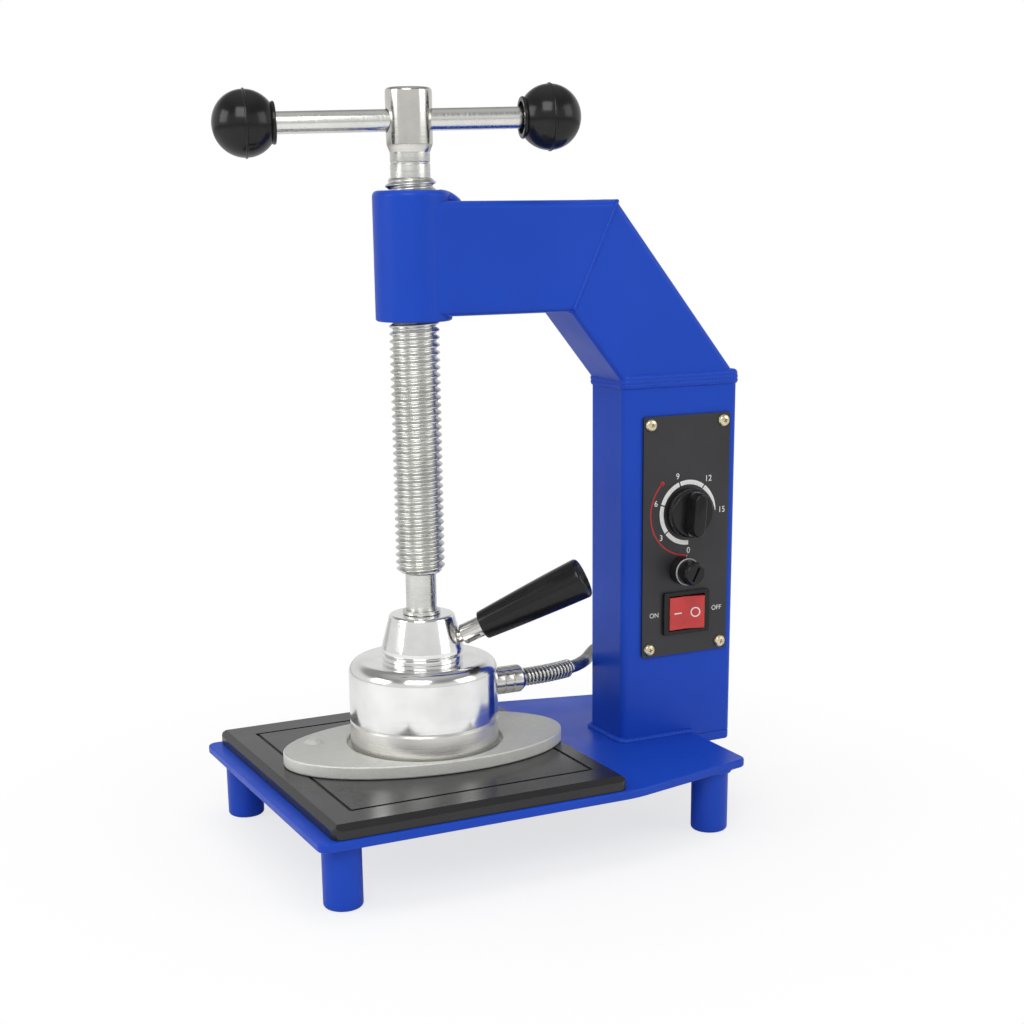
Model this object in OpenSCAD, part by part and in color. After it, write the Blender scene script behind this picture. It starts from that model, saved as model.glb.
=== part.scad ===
/* [Base plate] */
// Length of the base plate
base_l = 267; // [250:1:300]
// Width of the base plate where the pad lies
base_w = 196; // [192:1:230]
// Width of the base plate at its rear end
base_rear_w = 158; // [150:1:180]
// Thickness of the base plate
base_t = 5; // [3:0.5:8]
// Corner radius of the base plate
base_corner_r = 6; // [2:0.5:10]
// Length from the front end to where the sides start to close in
base_parallel_l = 184; // [175:1:200]
// Radius of the bend where the sides start to close in
base_bend_r = 70; // [20:5:90]

/* [Feet] */
// Diameter of a foot
foot_d = 21; // [16:0.5:26]
// Height of a foot
foot_h = 36.4; // [25:1:60]
// Rounding of a foot's lower edge
foot_round = 2; // [0.5:0.5:3]
// Distance of a front foot's axis from the front end and from the side
foot_inset = 17.3; // [14:0.1:24]
// Distance of a rear foot's axis from the rear end
rear_foot_inset = 20.3; // [16:0.1:30]
// Distance between the axes of the two rear feet
rear_foot_pitch = 143; // [110:1:146]

/* [Working pad] */
// Length of the pad
pad_l = 171; // [165:1:175]
// Width of the pad
pad_w = 192; // [150:1:192]
// Thickness of the pad
pad_t = 8; // [5:0.5:12]
// Distance of the pad from the front end of the base plate
pad_inset = 8; // [4:0.5:8]
// Width and height of the bevel round the pad's top
pad_bevel = 3; // [1:0.5:4]
// Corner radius of the pad
pad_corner_r = 5; // [2:0.5:10]
// Width of the line sunk in the pad
pad_groove_w = 1.8; // [1:0.2:3]
// Depth of the line sunk in the pad
pad_groove_depth = 1; // [0.5:0.1:2]
// Distance of the sunk line from the pad's front end
pad_groove_front = 17; // [10:0.5:22]
// Distance of the sunk line from the pad's rear end
pad_groove_rear = 12.5; // [8:0.5:22]
// Distance of the sunk line from the pad's sides
pad_groove_side = 20; // [10:0.5:24]

/* [Column] */
// Width of the column along the base plate
column_w = 76; // [70:1:84]
// Depth of the column across the base plate
column_d = 40; // [38:1:50]
// How far the column stands out past the base plate's rear end
column_overhang = 27.4; // [15:1:35]
// How far the standing out part of the column reaches below the top of the plate
column_drop = 2; // [1:0.5:4]
// Wall of the column, slanted piece and arm
tube_wall = 3; // [2:0.5:4]
// Outer corner radius of the column, slanted piece and arm
tube_corner_r = 4; // [3:0.5:8]
// Thickness of the plate that closes the column's foot
column_cap_t = 6; // [3:0.5:8]

/* [Arm] */
// Height of the arm
arm_h = 59; // [50:1:64]
// Height of the arm's underside above the column's top
arm_rise = 40; // [30:1:60]
// How far a weld bead stands out
weld_r = 1.4; // [0.8:0.1:2]
// Height of the weld bead round the top of the column
weld_band_h = 7; // [4:0.5:10]

/* [Boss] */
// Distance of the screw's axis from the front end of the base plate
screw_from_end = 100; // [95:1:105]
// Diameter of the boss
boss_d = 41; // [36:0.5:44]
// How far the boss reaches below the arm
boss_below = 2.5; // [1:0.5:6]
// How far the boss reaches above the arm
boss_above = 5.6; // [2:0.1:8]
// Rounding of the boss's upper edge
boss_round = 3; // [1:0.5:4]

/* [Platen] */
// Length of the oval platen
platen_l = 164; // [130:1:168]
// Width of the oval platen
platen_w = 95; // [92:1:120]
// Thickness of the platen
platen_t = 7.5; // [6:0.5:10]
// Angle at which the platen lies on the pad
platen_turn = -5; // [-20:1:20]
// Depth of the round recess that takes the heater head
recess_depth = 3; // [2:0.5:4]
// Gap round the heater head in the recess
recess_gap = 2.3; // [1:0.1:3]
// Height of the cast pip on the platen
pip_h = 2.4; // [1:0.1:4]
// Diameter of the cast pip
pip_d = 11; // [6:0.5:14]
// Distance of the pip from the middle of the platen
pip_from_mid = 63; // [56:0.5:68]
// Angle of the pip round the middle of the platen
pip_turn = 165; // [0:5:355]

/* [Heater head] */
// Diameter of the heater head
head_d = 84; // [78:0.5:86]
// Height of the lower ring of the head
ring_h = 15.8; // [12:0.1:20]
// Height of the cap of the head
cap_h = 34.5; // [32:0.5:40]
// Rounding of the cap's shoulder
cap_round = 7.5; // [4:0.5:13]
// Wall of the cap
cap_wall = 3; // [2:0.5:4]
// Width of the chamfers along the seam between cap and ring
seam_chamfer = 0.6; // [0.3:0.1:1]
// Thickness of the ring's floor, which gives the heat
ring_floor = 6; // [4:0.5:8]
// Wall of the ring round the heating element
ring_wall = 5; // [3:0.5:8]
// Diameter of the heating element
element_d = 66; // [50:1:70]
// Thickness of the heating element
element_t = 4; // [2:0.5:5]
// Thickness of the insulating board above the element
board_t = 5; // [3:0.5:5]
// Diameter of the thermostat
thermostat_d = 16; // [12:1:20]
// Height of the thermostat
thermostat_h = 10; // [6:1:14]

/* [Swivel socket] */
// Diameter of the collar under the socket
collar_d = 45; // [40:0.5:46]
// Height of the collar
collar_h = 3.5; // [3:0.5:6]
// Diameter of the socket at its rim
socket_d = 46; // [42:0.2:48]
// Diameter of the socket at its top
socket_top_d = 36; // [32:0.5:40]
// Height of the socket
socket_h = 22; // [18:0.5:26]
// Height of the rim at the socket's foot
socket_rim_h = 3; // [2:0.5:5]
// Rounding of the socket's upper edge
socket_round = 2; // [1:0.5:3]
// Diameter of the chamber in the socket that takes the retaining ring
chamber_d = 25; // [22:0.5:27]
// Height of the chamber in the socket
chamber_h = 7.5; // [6:0.5:10]
// Thickness of the thrust pad under the spindle
thrust_t = 4; // [2:0.5:4]

/* [Screw] */
// Diameter of the screw over its thread
screw_d = 27; // [24:0.5:28]
// Length of the thread
thread_l = 209.8; // [180:0.1:220]
// Pitch of the thread
thread_pitch = 4; // [3:0.5:6]
// Depth of the thread
thread_depth = 1.9; // [1:0.1:2.4]
// Diameter of the spindle below the thread
spindle_d = 17; // [12:0.5:18]
// Length of the spindle between the socket and the thread
spindle_l = 23.7; // [20:0.1:40]
// Diameter of the ring at the socket's mouth
mouth_ring_d = 21; // [18:0.5:24]
// Thickness of the ring at the socket's mouth
mouth_ring_t = 2; // [1:0.5:3]
// Diameter of the retaining ring on the spindle
retainer_d = 23; // [20:0.5:24]
// Thickness of the retaining ring
retainer_t = 2.5; // [1.5:0.5:3]
// Diameter of the neck between the thread and the hub
neck_d = 21; // [18:0.5:23]
// Length of the neck
neck_l = 12.9; // [8:0.1:20]

/* [Tommy bar] */
// Diameter of the hub
hub_d = 24.4; // [22:0.2:28]
// Height of the hub with its cone
hub_h = 32; // [28:0.5:40]
// Height of the cone at the hub's foot
hub_cone_h = 4; // [2:0.5:6]
// Rounding of the hub's top edge
hub_round = 2; // [1:0.5:3]
// Distance of the bar's axis from the hub's top
bar_below_top = 16; // [13:0.5:20]
// Diameter of the bar
bar_d = 11.2; // [9:0.2:12]
// Gap round the bar in the hub
bar_gap = 0.6; // [0.5:0.1:1]
// Distance from the screw's axis to the middle of the left knob
left_reach = 84.7; // [80:0.1:86]
// Distance from the screw's axis to the middle of the right knob
right_reach = 75; // [70:0.1:84]
// Angle of the bar round the screw's axis at rest
bar_turn = -14; // [-40:1:40]
// Tilt of the loose bar in the hub, lower on the left
bar_tilt = 1.2; // [0:0.1:2]
// Diameter of a ball knob
knob_d = 33.6; // [30:0.2:34]
// Diameter of the moulded neck of a ball knob
knob_neck_d = 21.6; // [18:0.2:26]
// Distance from a knob's middle to the end of its neck
knob_neck_end = 15.4; // [14.6:0.1:20]
// Depth of the open mouth in a knob's neck
knob_mouth = 3; // [2:0.5:5]
// How far the knob's seam stands out
knob_seam = 0.7; // [0.4:0.1:1]
// Diameter of the threaded end of the bar
bar_stud_d = 8; // [6:0.5:9]
// Length of the threaded end of the bar
bar_stud_l = 18; // [10:1:22]

/* [Head handle] */
// Angle of the handle round the screw's axis
handle_turn = -32; // [-70:1:-28]
// Slope of the handle above the level
handle_rise = 26.4; // [20:0.1:35]
// Depth below the socket's foot at which the handle's line meets the screw's axis
handle_meet = 1.7; // [0:0.1:3]
// Distance of the grip's near end from the screw's axis, along the handle
grip_start = 38.2; // [36:0.1:46]
// Length of the grip
grip_l = 63.4; // [60:0.1:80]
// Diameter of the grip at its near end
grip_near_d = 16.2; // [14:0.1:18]
// Diameter of the grip at its far end
grip_far_d = 23; // [20:0.5:26]
// Diameter of the steel stub between socket and grip
stub_d = 11.6; // [10:0.1:13]
// Distance of the stub's shoulder from the socket's rim, along the handle
stub_neck_l = 2.5; // [2:0.5:4]
// Diameter of the stud that holds the stub and the grip
stub_stud_d = 7; // [5:0.5:8]
// Depth of the stud in the grip
stub_stud_l = 30; // [20:1:45]
// Depth of the stud in the socket
stub_root_l = 5.5; // [4:0.5:6]

/* [Conduit] */
// Height of the conduit's ferrule above the seam of the head
ferrule_up = 14.5; // [12:0.5:18]
// Diameter of the ferrule
ferrule_d = 16; // [12:0.5:18]
// Length of the ferrule outside the head
ferrule_l = 20; // [14:0.5:26]
// Diameter of the ferrule's shank in the head's wall
ferrule_shank_d = 11; // [8:0.5:12]
// Depth of the ferrule's bore that takes the hose
ferrule_bore_l = 12; // [6:0.5:13]
// Diameter of the braided hose
hose_d = 7; // [6:0.2:7.2]
// Gap round the hose in the ferrule, gland and spring
hose_gap = 0.4; // [0.2:0.1:0.6]
// Diameter of the spring guard's wire
spring_wire_d = 1.5; // [1:0.1:1.6]
// Number of turns of the spring guard
spring_turns = 15; // [8:1:16]
// Length of hose that the spring guard covers
spring_l = 35; // [34:1:40]
// Radius of the hose's bend behind the column
hose_bend_r = 28; // [24:0.5:30]
// Straight run of the hose before that bend
hose_run_l = 20; // [16:1:26]
// How far the hose sags before that bend
hose_sag = 4; // [0:0.5:8]
// Diameter of the gland on the column's back
gland_d = 16; // [12:0.5:20]
// Length of the gland outside the column
gland_l = 6; // [5:0.5:7]
// Distance of the gland from the column's front side
gland_from_front = 63.5; // [58:0.5:64]
// Height of the gland above the base plate
gland_up = 54; // [46:1:75]
// Diameter of the grommet for the mains lead
grommet_d = 17; // [12:0.5:20]
// Diameter of the hole through the grommet
grommet_hole_d = 7.5; // [5:0.5:9]
// Width of the grommet's lips beyond its hole in the column
grommet_lip = 2; // [1:0.5:3]
// Distance of the grommet from the column's front side
grommet_from_front = 45; // [40:0.5:55]
// Height of the grommet above the base plate
grommet_up = 22; // [14:1:30]

/* [Control panel] */
// Width of the panel
panel_w = 58; // [54:0.5:62]
// Height of the panel
panel_h = 140.8; // [136:0.1:150]
// Thickness of the panel
panel_t = 1.5; // [1:0.1:2.5]
// Corner radius of the panel
panel_corner_r = 1.5; // [0.5:0.5:4]
// Distance of the panel from the column's front side
panel_from_front = 12; // [9:0.5:14]
// Height of the panel's lower edge above the base plate
panel_up = 50.5; // [46:0.5:60]
// Height of the column's top above the panel's upper edge
panel_over = 19.9; // [14:0.1:30]
// Distance of the cut-out behind the panel from the panel's sides
cutout_side = 8; // [7.5:0.1:9]
// Distance of the cut-out behind the panel from the panel's upper and lower edge
cutout_end = 10; // [8:0.1:12]
// Distance of the panel screws from the panel's edges
panel_screw_inset = 4.6; // [4:0.1:5]
// Diameter of a panel screw's head
panel_screw_head_d = 7.2; // [6:0.2:8]
// Height of a panel screw's head
panel_screw_head_h = 2.2; // [1.5:0.1:3]
// Diameter of a panel screw
panel_screw_d = 3.5; // [3:0.1:4]
// Length of a panel screw under its head
panel_screw_l = 7; // [5:0.5:10]

/* [Timer] */
// Height of the timer's axis above the panel's lower edge
timer_up = 84.2; // [80:0.1:90]
// Distance of the timer's axis from the panel's left edge
timer_from_edge = 30; // [28:0.5:33]
// Width and height of the timer's case
timer_case_w = 34; // [30:0.5:35]
// Depth of the timer's case
timer_case_depth = 24; // [18:1:30]
// Diameter of the timer's shaft
timer_shaft_d = 6; // [5:0.5:7]
// Diameter of the panel's hole for the shaft
timer_hole_d = 9; // [8:0.5:12]
// Diameter of the timer knob
dial_knob_d = 29; // [26:0.5:32]
// Thickness of the knob's skirt
dial_skirt_t = 6; // [4:0.5:8]
// Height of the knob's grip bar above the skirt
dial_bar_h = 8.5; // [6:0.5:12]
// Width of the knob's grip bar
dial_bar_w = 11; // [8:0.5:14]
// Gap between the knob and the panel
dial_gap = 0.5; // [0.3:0.1:1]

/* [Fuse] */
// Height of the fuse holder's axis above the panel's lower edge
fuse_up = 50.5; // [50:0.5:54]
// Distance of the fuse holder's axis from the panel's left edge
fuse_from_edge = 26.4; // [26:0.2:32]
// Diameter of the fuse holder in front of the panel
fuse_holder_d = 17; // [14:0.5:18]
// Length of the fuse holder in front of the panel
fuse_holder_l = 7.4; // [5:0.2:9]
// Diameter of the fuse holder's barrel behind the panel
fuse_barrel_d = 12; // [10:0.5:13]
// Length of the fuse holder's barrel behind the panel
fuse_barrel_l = 24; // [20:1:30]
// Diameter of the fuse holder's cap
fuse_cap_d = 14.4; // [12:0.2:16]
// Length of the fuse holder's cap
fuse_cap_l = 8.6; // [6:0.2:10]
// Diameter of the fuse
fuse_d = 5; // [5:0.1:6.4]
// Length of the fuse
fuse_l = 20; // [18:1:24]
// Gap round the fuse in its holder
fuse_gap = 0.4; // [0.3:0.1:0.6]

/* [Switch] */
// Height of the switch's middle above the panel's lower edge
switch_up = 25; // [24:0.2:27]
// Distance of the switch's middle from the panel's left edge
switch_from_edge = 29.3; // [28:0.1:32]
// Width of the switch's bezel
bezel_w = 31; // [29:0.5:33]
// Height of the switch's bezel
bezel_h = 25.5; // [24:0.5:27]
// Thickness of the switch's bezel
bezel_t = 2; // [1:0.5:3]
// Width of the switch's case behind the panel
case_w = 28; // [27:0.5:29]
// Height of the switch's case behind the panel
case_h = 22.4; // [21.8:0.2:23]
// Depth of the switch's case behind the panel
case_depth = 22; // [18:1:26]
// Width of the rocker
rocker_w = 22.6; // [22:0.2:24]
// Height of the rocker
rocker_h = 19.4; // [18:0.2:20]
// Gap round the rocker
rocker_gap = 0.8; // [0.8:0.1:1]
// Depth of the rocker from its middle to its pivot
rocker_depth = 6; // [5:0.5:8]
// How far each end of the rocker stands above its middle
rocker_dish = 1.8; // [1:0.2:3]
// Tilt of the rocker to either side
rocker_tilt = 6; // [4:0.5:8]
// Diameter of the rocker's pivot
rocker_pivot_d = 2.4; // [2:0.2:3]

/* [Hidden] */

$fn = 64;
// One overrun for every cut
cut = 1;
// Running clearance of a shaft in its bore, on the radius
run_gap = 0.05;
// Clearance of a loose piece from its seat
seat_gap = 0.2;
// Steps of a rounded corner in an outline
corner_steps = 8;

// Places along the base, with the whole machine centred on the origin
front_x = -(base_l + column_overhang + weld_r) / 2;
rear_x = front_x + base_l;
screw_x = front_x + screw_from_end;
column_rear_x = rear_x + column_overhang;
column_front_x = column_rear_x - column_w;
column_mid_x = (column_front_x + column_rear_x) / 2;

// Levels of the frame
base_z = foot_h;
top_z = base_z + base_t;
column_h = panel_up + panel_h + panel_over;
column_top_z = top_z + column_h;
arm_z = column_top_z + arm_rise;
arm_top_z = arm_z + arm_h;
boss_z = arm_z - boss_below;
boss_top_z = arm_top_z + boss_above;
// The slanted piece's cut end is as wide as the column
slant_angle = asin(arm_h / column_w);
slant_run = arm_rise / tan(slant_angle);
miter_low_x = column_front_x - slant_run;
miter_top_x = miter_low_x + arm_h * tan(slant_angle / 2);

// Levels of the heater head and of what it stands on
pad_top_z = top_z + pad_t;
platen_top_z = pad_top_z + platen_t;
head_z = platen_top_z - recess_depth + seat_gap;
seam_z = head_z + ring_h;
cap_top_z = seam_z + cap_h;
socket_z = cap_top_z + collar_h;
socket_top_z = socket_z + socket_h;
thread_z = socket_top_z + spindle_l;
neck_z = thread_z + thread_l;
hub_z = neck_z + neck_l;
hub_top_z = hub_z + hub_h;
bar_z = hub_top_z - bar_below_top;
thrust_top_z = cap_top_z + thrust_t;
spindle_end_z = thrust_top_z + seat_gap;
chamber_top_z = socket_z + chamber_h;
retainer_z = chamber_top_z - seat_gap - retainer_t;
element_z = head_z + ring_floor;
board_z = element_z + element_t;
thermostat_z = board_z + board_t;
handle_meet_z = socket_z - handle_meet;

// Places on the panel
panel_x = column_front_x + panel_from_front;
panel_z = top_z + panel_up;
panel_back_y = -column_d / 2;
panel_face_y = panel_back_y - panel_t;
timer_x = panel_x + timer_from_edge;
timer_z = panel_z + timer_up;
fuse_x = panel_x + fuse_from_edge;
fuse_z = panel_z + fuse_up;
switch_x = panel_x + switch_from_edge;
switch_z = panel_z + switch_up;
gland_x = column_front_x + gland_from_front;
gland_z = top_z + gland_up;
grommet_x = column_front_x + grommet_from_front;
grommet_z = top_z + grommet_up;
ferrule_z = seam_z + ferrule_up;
ferrule_root_x = screw_x + head_d / 2;
ferrule_end_x = ferrule_root_x + ferrule_l;
hose_start_x = ferrule_end_x - ferrule_bore_l;

// Distance along the handle at which the stub leaves the socket
stub_shoulder = socket_d / 2;
// Distance of the bar's shoulder from a knob's middle
bar_shoulder = knob_neck_end - knob_mouth;
// Depth of the rocker's pivot
rocker_pivot_y = panel_face_y + rocker_depth - bezel_t;

// Where the spring guard lies along the route, in steps of the route's points
spring_from = 1;
spring_to = 3;
spring_r = hose_d / 2 + hose_gap + spring_wire_d / 2;
spring_rings = 8;
hose_bend_steps = 8;
spring_sides = 6;

// Route of the conduit: level out of the ferrule, past the column's corner at a slant, and round in
// one bend to the gland. The first places are shares of the spring guard's length and of the sag.
hose_lead_shares = [[0.5, 0.04, 0], [1, 0.2, -0.1], [1.35, 0.45, -0.3]];
hose_slant = 53;
hose_slant_way = [cos(hose_slant), sin(hose_slant)];
bend_mid = [gland_x - hose_bend_r, column_d / 2 + gland_l];
bend_start = bend_mid + hose_bend_r * [-hose_slant_way[1], hose_slant_way[0]];
hose_low_z = ferrule_z - hose_sag;
// Point of the bend, at a share of its turn
function bend_point(t) =
    let(a = hose_slant - t * (90 + hose_slant))
    [each bend_mid + hose_bend_r * [-sin(a), cos(a)],
        hose_low_z + (gland_z - hose_low_z) * (1 - cos(180 * t)) / 2];
hose_route = concat([[hose_start_x, 0, ferrule_z], [ferrule_end_x, 0, ferrule_z]],
    [for (p = hose_lead_shares)
        [ferrule_end_x + p[0] * spring_l, p[1] * spring_l, ferrule_z + p[2] * hose_sag]],
    [for (t = [1, 0.5]) [each bend_start - t * hose_run_l * hose_slant_way, hose_low_z + 0.4 * t * hose_sag]],
    [for (i = [0:hose_bend_steps]) bend_point(i / hose_bend_steps)],
    [[gland_x, column_d / 2 + gland_l / 3 + hose_gap, gland_z]]);
hose_sides = 10;
hose_steps = 3;

// Corner of an outline: points of an arc of radius r at b between a and c
function unit(v) = v / norm(v);
function corner_arc(a, b, c, r) =
    let(u = unit(a - b), v = unit(c - b), half = acos(max(-1, min(1, u * v))) / 2,
        reach = r / tan(half), mid = b + unit(u + v) * r / sin(half),
        from = b + u * reach - mid, turn = cross(u, v) > 0 ? -1 : 1)
    [for (i = [0:corner_steps]) let(t = turn * (180 - 2 * half) * i / corner_steps)
        mid + [from[0] * cos(t) - from[1] * sin(t), from[0] * sin(t) + from[1] * cos(t)]];

// Outline with rounded corners: each corner is [x, y, radius]
function rounded(corners) =
    [for (i = [0:len(corners) - 1])
        let(n = len(corners), a = corners[(i + n - 1) % n], b = corners[i], c = corners[(i + 1) % n])
        each b[2] == 0 ? [[b[0], b[1]]]
            : corner_arc([a[0], a[1]], [b[0], b[1]], [c[0], c[1]], b[2])];

// Rectangle with round corners, centred on the origin
module round_rect(w, h, r) {
    polygon(rounded([[-w / 2, -h / 2, r], [w / 2, -h / 2, r], [w / 2, h / 2, r], [-w / 2, h / 2, r]]));
}

// Point and direction of the conduit's route, as a smooth curve through its points
function route_point(s) =
    let(n = len(hose_route) - 1, i = min(n - 1, floor(s)), t = s - i,
        b = hose_route[i], c = hose_route[i + 1],
        a = i == 0 ? 2 * b - c : hose_route[i - 1], d = i == n - 1 ? 2 * c - b : hose_route[i + 2])
    0.5 * (2 * b + (c - a) * t + (2 * a - 5 * b + 4 * c - d) * t * t + (3 * b - a - 3 * c + d) * t * t * t);
function route_way(s) =
    let(n = len(hose_route) - 1, e = 0.01)
    unit(route_point(min(n, s + e)) - route_point(max(0, s - e)));
function route_side(s) = unit(cross([0, 0, 1], route_way(s)));
function route_up(s) = cross(route_way(s), route_side(s));

// Tube swept through a list of rings, with its ends closed
module swept(rings) {
    n = len(rings);
    m = len(rings[0]);
    points = [for (r = rings) each r];
    skin = [for (i = [0:n - 2]) for (j = [0:m - 1])
        let(a = i * m + j, b = i * m + (j + 1) % m) each [[a, a + m, b], [b, a + m, b + m]]];
    start = [for (j = [1:m - 2]) [0, j, j + 1]];
    finish = [for (j = [1:m - 2]) [(n - 1) * m, (n - 1) * m + j + 1, (n - 1) * m + j]];
    polyhedron(points = points, faces = concat(skin, start, finish));
}

// Upright outline of the base plate
module base_outline() {
    w = base_w / 2;
    r = base_rear_w / 2;
    polygon(rounded([[front_x, -w, base_corner_r], [front_x + base_parallel_l, -w, base_bend_r],
        [rear_x, -r, base_corner_r], [rear_x, r, base_corner_r],
        [front_x + base_parallel_l, w, base_bend_r], [front_x, w, base_corner_r]]));
}

module base_plate() {
    color("royalblue")
    translate([0, 0, base_z]) linear_extrude(base_t) base_outline();
}

// Foot with a rounded lower edge
module foot(x, y) {
    r = foot_d / 2;
    color("royalblue")
    translate([x, y, 0]) rotate_extrude()
        polygon(rounded([[0, 0, 0], [r, 0, foot_round], [r, foot_h, 0], [0, foot_h, 0]]));
}

module foot_front_left() {
    foot(front_x + foot_inset, foot_inset - base_w / 2);
}

module foot_front_right() {
    foot(rear_x - rear_foot_inset, -rear_foot_pitch / 2);
}

module foot_rear_left() {
    foot(front_x + foot_inset, base_w / 2 - foot_inset);
}

module foot_rear_right() {
    foot(rear_x - rear_foot_inset, rear_foot_pitch / 2);
}

// Section with its two upper corners bevelled
module bevelled_section(w, h, bevel) {
    polygon([[-w / 2, 0], [w / 2, 0], [w / 2, h - bevel], [w / 2 - bevel, h],
        [bevel - w / 2, h], [-w / 2, h - bevel]]);
}

module working_pad() {
    mid_x = front_x + pad_inset + pad_l / 2;
    groove_l = pad_l - pad_groove_front - pad_groove_rear;
    groove_w = pad_w - 2 * pad_groove_side;
    groove_x = front_x + pad_inset + pad_groove_front + groove_l / 2;
    color([0.06, 0.06, 0.07])
    difference() {
        translate([mid_x, 0, top_z]) intersection() {
            linear_extrude(pad_t) round_rect(pad_l, pad_w, pad_corner_r);
            translate([0, pad_w / 2, 0]) rotate([90, 0, 0])
                linear_extrude(pad_w) bevelled_section(pad_l, pad_t, pad_bevel);
            translate([-pad_l / 2, 0, 0]) rotate([90, 0, 90])
                linear_extrude(pad_l) bevelled_section(pad_w, pad_t, pad_bevel);
        }
        translate([groove_x, 0, pad_top_z - pad_groove_depth]) linear_extrude(pad_groove_depth + cut)
        difference() {
            square([groove_l + pad_groove_w, groove_w + pad_groove_w], center = true);
            square([groove_l - pad_groove_w, groove_w - pad_groove_w], center = true);
        }
    }
}

// Ring section of the square tube, w wide and column_d deep
module tube_section(w) {
    difference() {
        round_rect(w, column_d, tube_corner_r);
        round_rect(w - 2 * tube_wall, column_d - 2 * tube_wall, tube_corner_r - tube_wall / 2);
    }
}

// Hole straight through the column's back wall
module back_hole(x, z, d) {
    translate([x, column_d / 2 + cut, z]) rotate([90, 0, 0]) cylinder(d = d, h = tube_wall + 2 * cut);
}

module column() {
    color("royalblue")
    difference() {
        translate([column_mid_x, 0, top_z - column_drop])
            linear_extrude(column_h + column_drop) tube_section(column_w);
        translate([0, 0, base_z]) linear_extrude(base_t) base_outline();
        translate([panel_x + panel_w / 2, panel_back_y + tube_wall / 2, panel_z + panel_h / 2])
            cube([panel_w - 2 * cutout_side, tube_wall + 2 * cut, panel_h - 2 * cutout_end], center = true);
        for (p = panel_screw_places())
            translate([p[0], panel_back_y - cut, p[1]]) rotate([-90, 0, 0])
                cylinder(d = panel_screw_d, h = tube_wall + 2 * cut);
        back_hole(gland_x, gland_z, ferrule_shank_d);
        back_hole(grommet_x, grommet_z, grommet_d - 2 * grommet_lip);
    }
}

module column_foot_cap() {
    z = top_z - column_drop - column_cap_t;
    color("royalblue")
    translate([rear_x, -column_d / 2, z]) linear_extrude(column_cap_t)
        translate([column_overhang / 2, column_d / 2])
            polygon(rounded([[-column_overhang / 2, -column_d / 2, 0],
                [column_overhang / 2, -column_d / 2, tube_corner_r],
                [column_overhang / 2, column_d / 2, tube_corner_r],
                [-column_overhang / 2, column_d / 2, 0]]));
}

// Side view of a stretch of the bent tube, extruded past both of its sides
module side_prism(points) {
    translate([0, column_d / 2 + weld_r + cut, 0]) rotate([90, 0, 0])
        linear_extrude(column_d + 2 * (weld_r + cut)) polygon(points);
}

// Bar of the section that is drawn, from the top of the column up to the miter with the arm
module slanted_bar() {
    run = column_w + slant_run + arm_h;
    intersection() {
        translate([column_mid_x, 0, column_top_z]) rotate([0, slant_angle - 90, 0])
            translate([0, 0, -run]) linear_extrude(3 * run) children();
        side_prism([[column_front_x, column_top_z], [column_rear_x, column_top_z],
            [miter_top_x, arm_top_z], [miter_low_x, arm_z]]);
    }
}

module slanted_tube() {
    color("royalblue") slanted_bar() tube_section(arm_h);
}

module arm() {
    l = miter_top_x - screw_x;
    color("royalblue")
    difference() {
        intersection() {
            translate([screw_x, 0, arm_z + arm_h / 2]) rotate([90, 0, 90])
                linear_extrude(l + cut) rotate([0, 0, 90]) tube_section(arm_h);
            side_prism([[screw_x, arm_z], [miter_low_x, arm_z], [miter_top_x, arm_top_z],
                [screw_x, arm_top_z]]);
        }
        translate([screw_x, 0, arm_z - cut]) cylinder(d = boss_d, h = arm_h + 2 * cut);
    }
}

module threaded_boss() {
    r = boss_d / 2;
    b = screw_d / 2 + run_gap;
    color("royalblue")
    translate([screw_x, 0, boss_z]) rotate_extrude()
        polygon(rounded([[b, 0, 0], [r, 0, boss_round / 2], [r, boss_top_z - boss_z, boss_round],
            [b, boss_top_z - boss_z, 0]]));
}

// Ramp of weld between the boss's top and the arm's top
module boss_ramp() {
    r = boss_d / 2;
    difference() {
        translate([screw_x, boss_d / 4, arm_top_z]) rotate([90, 0, 0]) linear_extrude(boss_d / 2)
            polygon([[0, 0], [r + boss_above, 0], [r, boss_above - boss_round], [0, boss_above - boss_round]]);
        translate([screw_x, 0, arm_top_z - cut]) cylinder(d = boss_d, h = boss_above + 2 * cut);
    }
}

module weld_beads() {
    color("royalblue") {
        difference() {
            translate([column_mid_x, 0, column_top_z - weld_band_h / 2]) linear_extrude(weld_band_h)
                round_rect(column_w + 2 * weld_r, column_d + 2 * weld_r, tube_corner_r + weld_r);
            translate([column_mid_x, 0, column_top_z - weld_band_h]) linear_extrude(weld_band_h)
                round_rect(column_w, column_d, tube_corner_r);
            slanted_bar() round_rect(arm_h, column_d, tube_corner_r);
        }
        difference() {
            translate([column_mid_x, 0, top_z]) linear_extrude(2 * weld_r)
            difference() {
                round_rect(column_w + 3 * weld_r, column_d + 3 * weld_r, tube_corner_r + weld_r);
                round_rect(column_w, column_d, tube_corner_r);
            }
            translate([rear_x, -column_d, top_z - cut])
                cube([column_overhang + 3 * weld_r, 2 * column_d, 2 * weld_r + 2 * cut]);
        }
        boss_ramp();
    }
}

module platen() {
    color([0.72, 0.72, 0.73])
    translate([screw_x, 0, pad_top_z]) rotate([0, 0, platen_turn]) {
        difference() {
            linear_extrude(platen_t) polygon([for (i = [0:71])
                [platen_l / 2 * cos(5 * i), platen_w / 2 * sin(5 * i)]]);
            translate([0, 0, platen_t - recess_depth])
                cylinder(d = head_d + 2 * recess_gap, h = recess_depth + cut, $fn = 96);
        }
        r = (pip_d * pip_d / 4 + pip_h * pip_h) / (2 * pip_h);
        translate([0, 0, platen_t]) rotate([0, 0, pip_turn])
        translate([pip_from_mid, 0, 0]) intersection() {
            translate([0, 0, pip_h - r]) sphere(r = r);
            cylinder(d = pip_d, h = pip_h + cut);
        }
    }
}

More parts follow.
